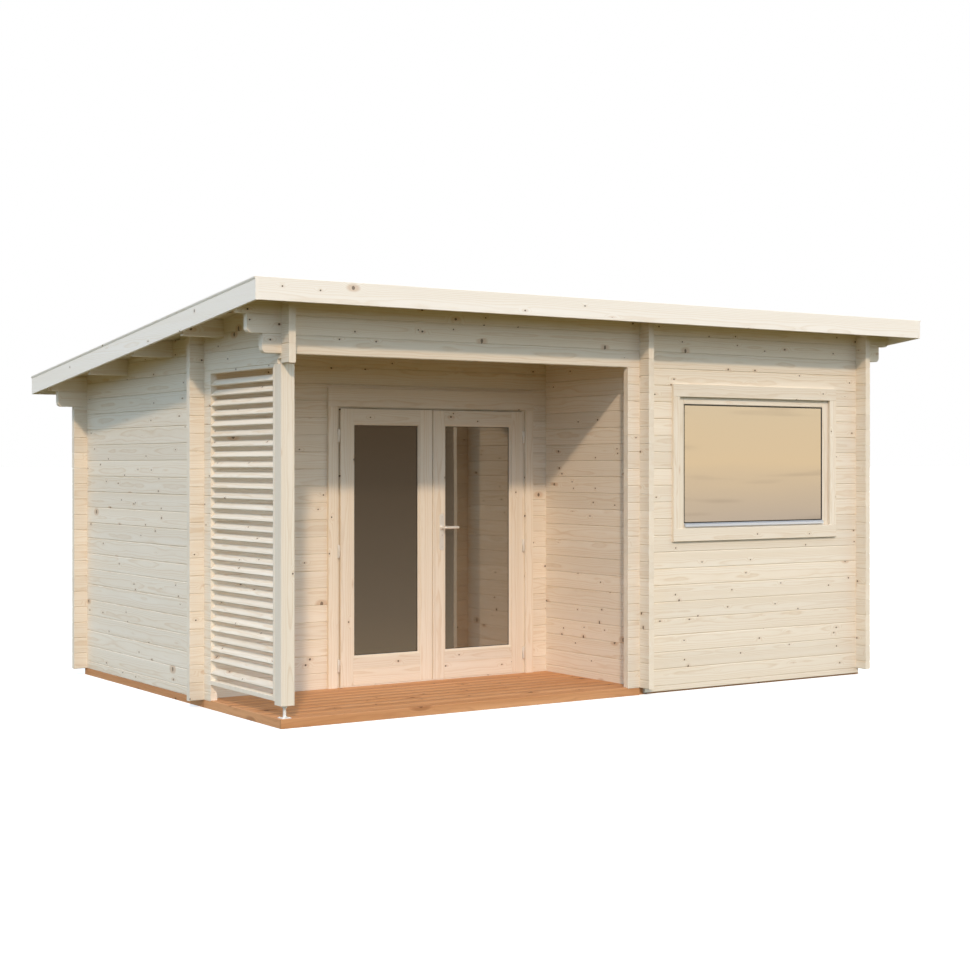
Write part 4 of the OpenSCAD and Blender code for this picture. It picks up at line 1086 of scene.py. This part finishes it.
# half a hinge barrel with a rounded tip
def addBarrel(bm, x, z0, z1, tipUp):
    r, k = hinge["radius"], hinge["knob"]
    steps = [(0.0, 0.35), (0.12, 0.62), (0.4, 0.86), (0.75, 0.97), (1.0, 1.0)]
    if tipUp:
        line = [(z0, r * 0.94), (z0 + 0.0006, r)] + [(z1 - k * a, r * b) for a, b in reversed(steps)]
    else:
        line = [(z0 + k * a, r * b) for a, b in steps] + [(z1 - 0.0006, r), (z1, r * 0.94)]
    addRound(bm, [Vector((x, hingeY, z)) for z, _ in line], [q for _, q in line], 24)


# a block between two corners with chamfered edges: each corner becomes three points, one on each of the
# faces that meet there
def addBlock(bm, low, high, ease=0.0005):
    corners = [(i, j, k) for i in (0, 1) for j in (0, 1) for k in (0, 1)]
    cut = {}
    for corner in corners:
        for face in range(3):
            p = [high[i] - ease if corner[i] else low[i] + ease for i in range(3)]
            p[face] = high[face] if corner[face] else low[face]
            cut[corner, face] = bm.verts.new(p)
        bm.faces.new([cut[corner, face] for face in range(3)])
    for face in range(3):
        u, v = [i for i in range(3) if i != face]
        for side in (0, 1):
            ring = sorted((c for c in corners if c[face] == side), key=lambda c: (c[u], c[u] ^ c[v]))
            bm.faces.new([cut[corner, face] for corner in ring])
            ends = [c for c in corners if c[u] == side]
            for level in (0, 1):
                a, b = [c for c in ends if c[v] == level]
                bm.faces.new((cut[a, u], cut[b, u], cut[b, v], cut[a, v]))


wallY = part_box("door_frame")[0].y
pins = bmesh.new()
for x in hingeX.values():
    for z in hingeZ:
        top = z + hinge["half"] - hinge["play"]
        addBarrel(pins, x, z, top, False)
        addBlock(pins, (x - hinge["radius"] / 2, hingeY, z + 0.002),
                 (x + hinge["radius"] / 2, wallY, top - 0.002))
meshPiece(pins, "hingePins", satinSteel, "cabin", ["door_hinge_pins"], 40)
for hand, edge in (("left", leafLow.x), ("right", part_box("right_door_leaf")[1].x)):
    x = hingeX[hand]
    bm = bmesh.new()
    for z in hingeZ:
        z0, z1, t = z + hinge["half"], z + 2 * hinge["half"] - hinge["play"], hinge["tongue"] / 2
        addBarrel(bm, x, z0, z1, True)
        addBlock(bm, (min(x, edge), hingeY - t, z0 + 0.002), (max(x, edge), hingeY + t, z1 - 0.006))
    meshPiece(bm, hand + "DoorHinges", satinSteel, hand + "_door", [hand + "_door_hinges"], 40)

# a turned part is a list of (distance out of the face it stands on, radius)
lock = {"width": 0.038, "height": 0.256, "thick": 0.004, "bevel": 0.0012, "cylinder": -0.030,
        "cylinderWidth": 0.017, "cylinderHeight": 0.033, "screw": 0.105,
        "screwHead": [(0.0, 0.0042), (0.001, 0.0042), (0.0018, 0.0034), (0.0022, 0.0018)],
        "rose": [(-0.001, 0.0165), (0.0, 0.0165), (0.006, 0.0155), (0.008, 0.0125)]}
plateLow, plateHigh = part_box("door_lock_plate")
plateZ = (plateLow.z + plateHigh.z) / 2
plateX = (plateLow.x + plateHigh.x) / 2
handleLow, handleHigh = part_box("door_handle")
lever = {"z": (handleLow.z + handleHigh.z) / 2, "x": plateX, "radius": 0.010, "neck": 0.009, "bend": 0.016,
         "out": 0.045}


# a flat plate with round ends that stands on a face at y0, its own face at y1 bevelled
def addStadium(bm, cx, cz, width, height, y0, y1, bevel, arcSteps=24):
    def ring(inset, y):
        r, straight = width / 2 - inset, (height - width) / 2
        points = []
        for first, middle in ((0.0, cz + straight), (math.pi, cz - straight)):
            for k in range(arcSteps + 1):
                t = first + math.pi * k / arcSteps
                points.append(Vector((cx + r * math.cos(t), y, middle + r * math.sin(t))))
        return points
    edge = y1 - bevel if y1 > y0 else y1 + bevel
    addSkin(bm, [ring(0, y0), ring(0, edge), ring(bevel, y1)])


plates = bmesh.new()
# flat black marks on the cylinder and the screw heads: painted shade where the keyhole and the slots are
holeShade = bmesh.new()
for leafY, out in ((faceY, -1), (rearY, 1)):
    front = leafY + out * lock["thick"]
    addStadium(plates, plateX, plateZ, lock["width"], lock["height"], leafY, front, lock["bevel"])
    cz = plateZ + lock["cylinder"]
    addStadium(plates, plateX, cz, lock["cylinderWidth"], lock["cylinderHeight"], front - out * 0.001,
               front + out * 0.0025, 0.0008)
    addStadium(holeShade, plateX, cz + 0.006, 0.0022, 0.009, front + out * 0.002, front + out * 0.0027, 0.0002)
    for z in (plateZ - lock["screw"], plateZ + lock["screw"]):
        path = [Vector((plateX, front - out * 0.001 + out * d, z)) for d, _ in lock["screwHead"]]
        addRound(plates, path, [r for _, r in lock["screwHead"]], 16)
        addStadium(holeShade, plateX, z, 0.0011, 0.005, front + out * 0.0008, front + out * 0.0023, 0.0001)
    path = [Vector((lever["x"], front + out * d, lever["z"])) for d, _ in lock["rose"]]
    addRound(plates, path, [r for _, r in lock["rose"]], 32)
meshPiece(plates, "lockPlates", satinSteel, "right_door", ["door_lock_plate"], 35)
# the keyhole and the slots are painted shade in the same black as the rubber
meshPiece(holeShade, "keyholeAndSlotShade", blackRubberAndHoleShade, "right_door")

bm = bmesh.new()
r, neck, bend, bendSteps = lever["radius"], lever["neck"], lever["bend"], 8
for leafY, out in ((faceY, -1), (rearY, 1)):
    start, far = leafY + out * (lock["thick"] + 0.004), leafY + out * lever["out"]
    path = [Vector((lever["x"], start, lever["z"])), Vector((lever["x"], far - out * bend, lever["z"]))]
    radii = [neck, neck]
    for k in range(1, bendSteps + 1):
        t = math.pi / 2 * k / bendSteps
        x, y = lever["x"] + bend * (1 - math.cos(t)), far - out * bend * (1 - math.sin(t))
        path.append(Vector((x, y, lever["z"])))
        radii.append(neck + (r - neck) * k / bendSteps)
    for back, share in ((0.030, 1.0), (0.008, 1.0), (0.004, 0.9), (0.0015, 0.65), (0.0, 0.3)):
        path.append(Vector((handleHigh.x - back, far, lever["z"])))
        radii.append(r * share)
    addRound(bm, path, radii, 24)
meshPiece(bm, "doorLevers", satinSteel, "handle", ["door_handle"], 40)

# adjustable foot under the post: a plate held by four screws, a threaded rod and a nut
foot = {"thick": 0.005, "rod": 0.010, "root": 0.0088, "nut": 0.018, "nutHeight": 0.016, "pitch": 0.0025,
        "screwOff": 0.021, "screwHead": [(0.0, 0.0065), (0.001, 0.0065), (0.0035, 0.0055), (0.0045, 0.003)]}
low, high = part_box("post_foot")
cx, cy = (low.x + high.x) / 2, (low.y + high.y) / 2
bm = bmesh.new()
addBlock(bm, (low.x, low.y, low.z), (high.x, high.y, low.z + foot["thick"]), 0.0015)
turns = int((high.z - low.z - foot["thick"] - foot["nutHeight"]) / foot["pitch"])
z = low.z + foot["thick"]
path = [Vector((cx, cy, z - 0.001))]
radii = [foot["rod"]]
for i in range(turns):
    for share, r in ((0.0, foot["root"]), (0.35, foot["rod"]), (0.6, foot["rod"])):
        path.append(Vector((cx, cy, z + (i + share) * foot["pitch"])))
        radii.append(r)
path.append(Vector((cx, cy, high.z)))
radii.append(foot["root"])
addRound(bm, path, radii, 20)
nut = [(high.z - foot["nutHeight"], 0.86), (high.z - foot["nutHeight"] + 0.002, 1.0), (high.z, 1.0)]
corners = [Vector((math.cos(math.radians(60 * k)), math.sin(math.radians(60 * k)), 0)) for k in range(6)]
addSkin(bm, [[Vector((cx, cy, z)) + foot["nut"] * s * corner for corner in corners] for z, s in nut])
z0 = low.z + foot["thick"] - 0.001
for sx in (-1, 1):
    for sy in (-1, 1):
        spot = Vector((cx + sx * foot["screwOff"], cy + sy * foot["screwOff"], z0))
        addRound(bm, [spot + Vector((0, 0, d)) for d, _ in foot["screwHead"]],
                 [r for _, r in foot["screwHead"]], 12)
meshPiece(bm, "postFoot", zincPlate, "cabin", ["post_foot"], 35)
print("fittings ready")


felt = {"sheet": 1.0, "lap": 0.10, "thick": 0.0019, "nailRow": 0.025, "nailEdge": 0.03, "nailStep": 0.1}
low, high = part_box("roof_covering")
bottom = roofThick + 0.0004
laps = []
edge = high.y
bm = bmesh.new()
while edge > low.y + 0.01:
    upper = max(low.y, edge - felt["sheet"])
    lapStart = edge - felt["lap"] if edge < high.y else edge
    rise = felt["thick"]
    points = [(upper, 0.0), (edge, 0.0)]
    if edge < high.y:
        points = [(upper, 0.0), (lapStart, 0.0), (lapStart + 0.006, rise), (edge, rise)]
    outline = [(y, roofZ(y) + bottom + d) for y, d in points]
    outline += [(y, roofZ(y) + bottom + d + felt["thick"]) for y, d in reversed(points)]
    addSkin(bm, [[Vector((x, y, z)) for y, z in outline] for x in (low.x, high.x)])
    if edge < high.y:
        laps.append(edge - felt["nailRow"])
    edge = upper + felt["lap"] if upper > low.y else low.y
meshPiece(bm, "roofFelt", roofFelt, "cabin", ["roof_covering"])


# one small head on each point of a mesh, with a socket for the driver; the turn says which way it looks
def headTree():
    tree = bpy.data.node_groups.new("screwHeads", "GeometryNodeTree")
    tree.interface.new_socket("Geometry", in_out="OUTPUT", socket_type="NodeSocketGeometry")
    sockets = [("Geometry", "Geometry"), ("Radius", "Float"), ("Height", "Float"),
               ("Socket Depth", "Float"), ("Turn", "Vector"), ("Material", "Material")]
    for name, kind in sockets:
        tree.interface.new_socket(name, in_out="INPUT", socket_type="NodeSocket" + kind)
    given = addNode(tree, "NodeGroupInput").outputs
    smaller = addNode(tree, "ShaderNodeMath", {0: given["Radius"], 1: 0.8}, operation="MULTIPLY")
    disc = addNode(tree, "GeometryNodeMeshCone", {
        "Vertices": 12, "Radius Top": smaller, "Radius Bottom": given["Radius"],
        "Depth": given["Height"]})
    rimFace = addNode(tree, "GeometryNodeExtrudeMesh", {
        "Mesh": disc.outputs["Mesh"], "Selection": disc.outputs["Top"], "Offset Scale": 0.0})
    top = rimFace.outputs["Top"]
    narrowed = addNode(tree, "GeometryNodeScaleElements", {
        "Geometry": rimFace.outputs["Mesh"], "Selection": top, "Scale": 0.5})
    inwards = addNode(tree, "ShaderNodeMath", {0: given["Socket Depth"], 1: -1.0}, operation="MULTIPLY")
    sunk = addNode(tree, "GeometryNodeExtrudeMesh", {
        "Mesh": narrowed, "Selection": top, "Offset Scale": inwards})
    turn = addNode(tree, "FunctionNodeEulerToRotation", {0: given["Turn"]})
    copies = addNode(tree, "GeometryNodeInstanceOnPoints", {
        "Points": given["Geometry"], "Instance": sunk, "Rotation": turn})
    real = addNode(tree, "GeometryNodeRealizeInstances", {0: copies})
    painted = addNode(tree, "GeometryNodeSetMaterial", {"Geometry": real, "Material": given["Material"]})
    addNode(tree, "NodeGroupOutput", {0: painted})
    return tree


screwHeads = headTree()
spots = []
nails = math.floor((high.x - low.x - 2 * felt["nailEdge"]) / felt["nailStep"])
for y in laps:
    nailZ = roofZ(y) + bottom + 2 * felt["thick"] + 0.0004
    spots += [(low.x + felt["nailEdge"] + i * felt["nailStep"], y, nailZ) for i in range(nails + 1)]
growPiece("feltNails", screwHeads, {"Radius": 0.005, "Height": 0.0012, "Socket Depth": 0.0002,
                                    "Turn": (-math.atan(roofFall), 0.0, 0.0), "Material": zincPlate},
          "cabin", points=spots)
spots = [(x, y0 + i * pitch + wide * share, boardHigh.z - 0.0002) for x in deckJoists for i in range(count)
         for share in (0.2, 0.8) if abs(x - cx) > 0.04 or i > 0]
growPiece("deckScrews", screwHeads, {"Radius": 0.0035, "Height": 0.0006, "Socket Depth": 0.0005,
                                     "Turn": (0.0, 0.0, 0.0), "Material": brownScrew},
          "cabin", points=spots)
print("roof felt and screws ready")

for name, material in (("left_door_glass", doorGlass), ("right_door_glass", doorGlass),
                       ("window_glass", windowGlass)):
    nodes[name].data.materials.clear()
    nodes[name].data.materials.append(material)
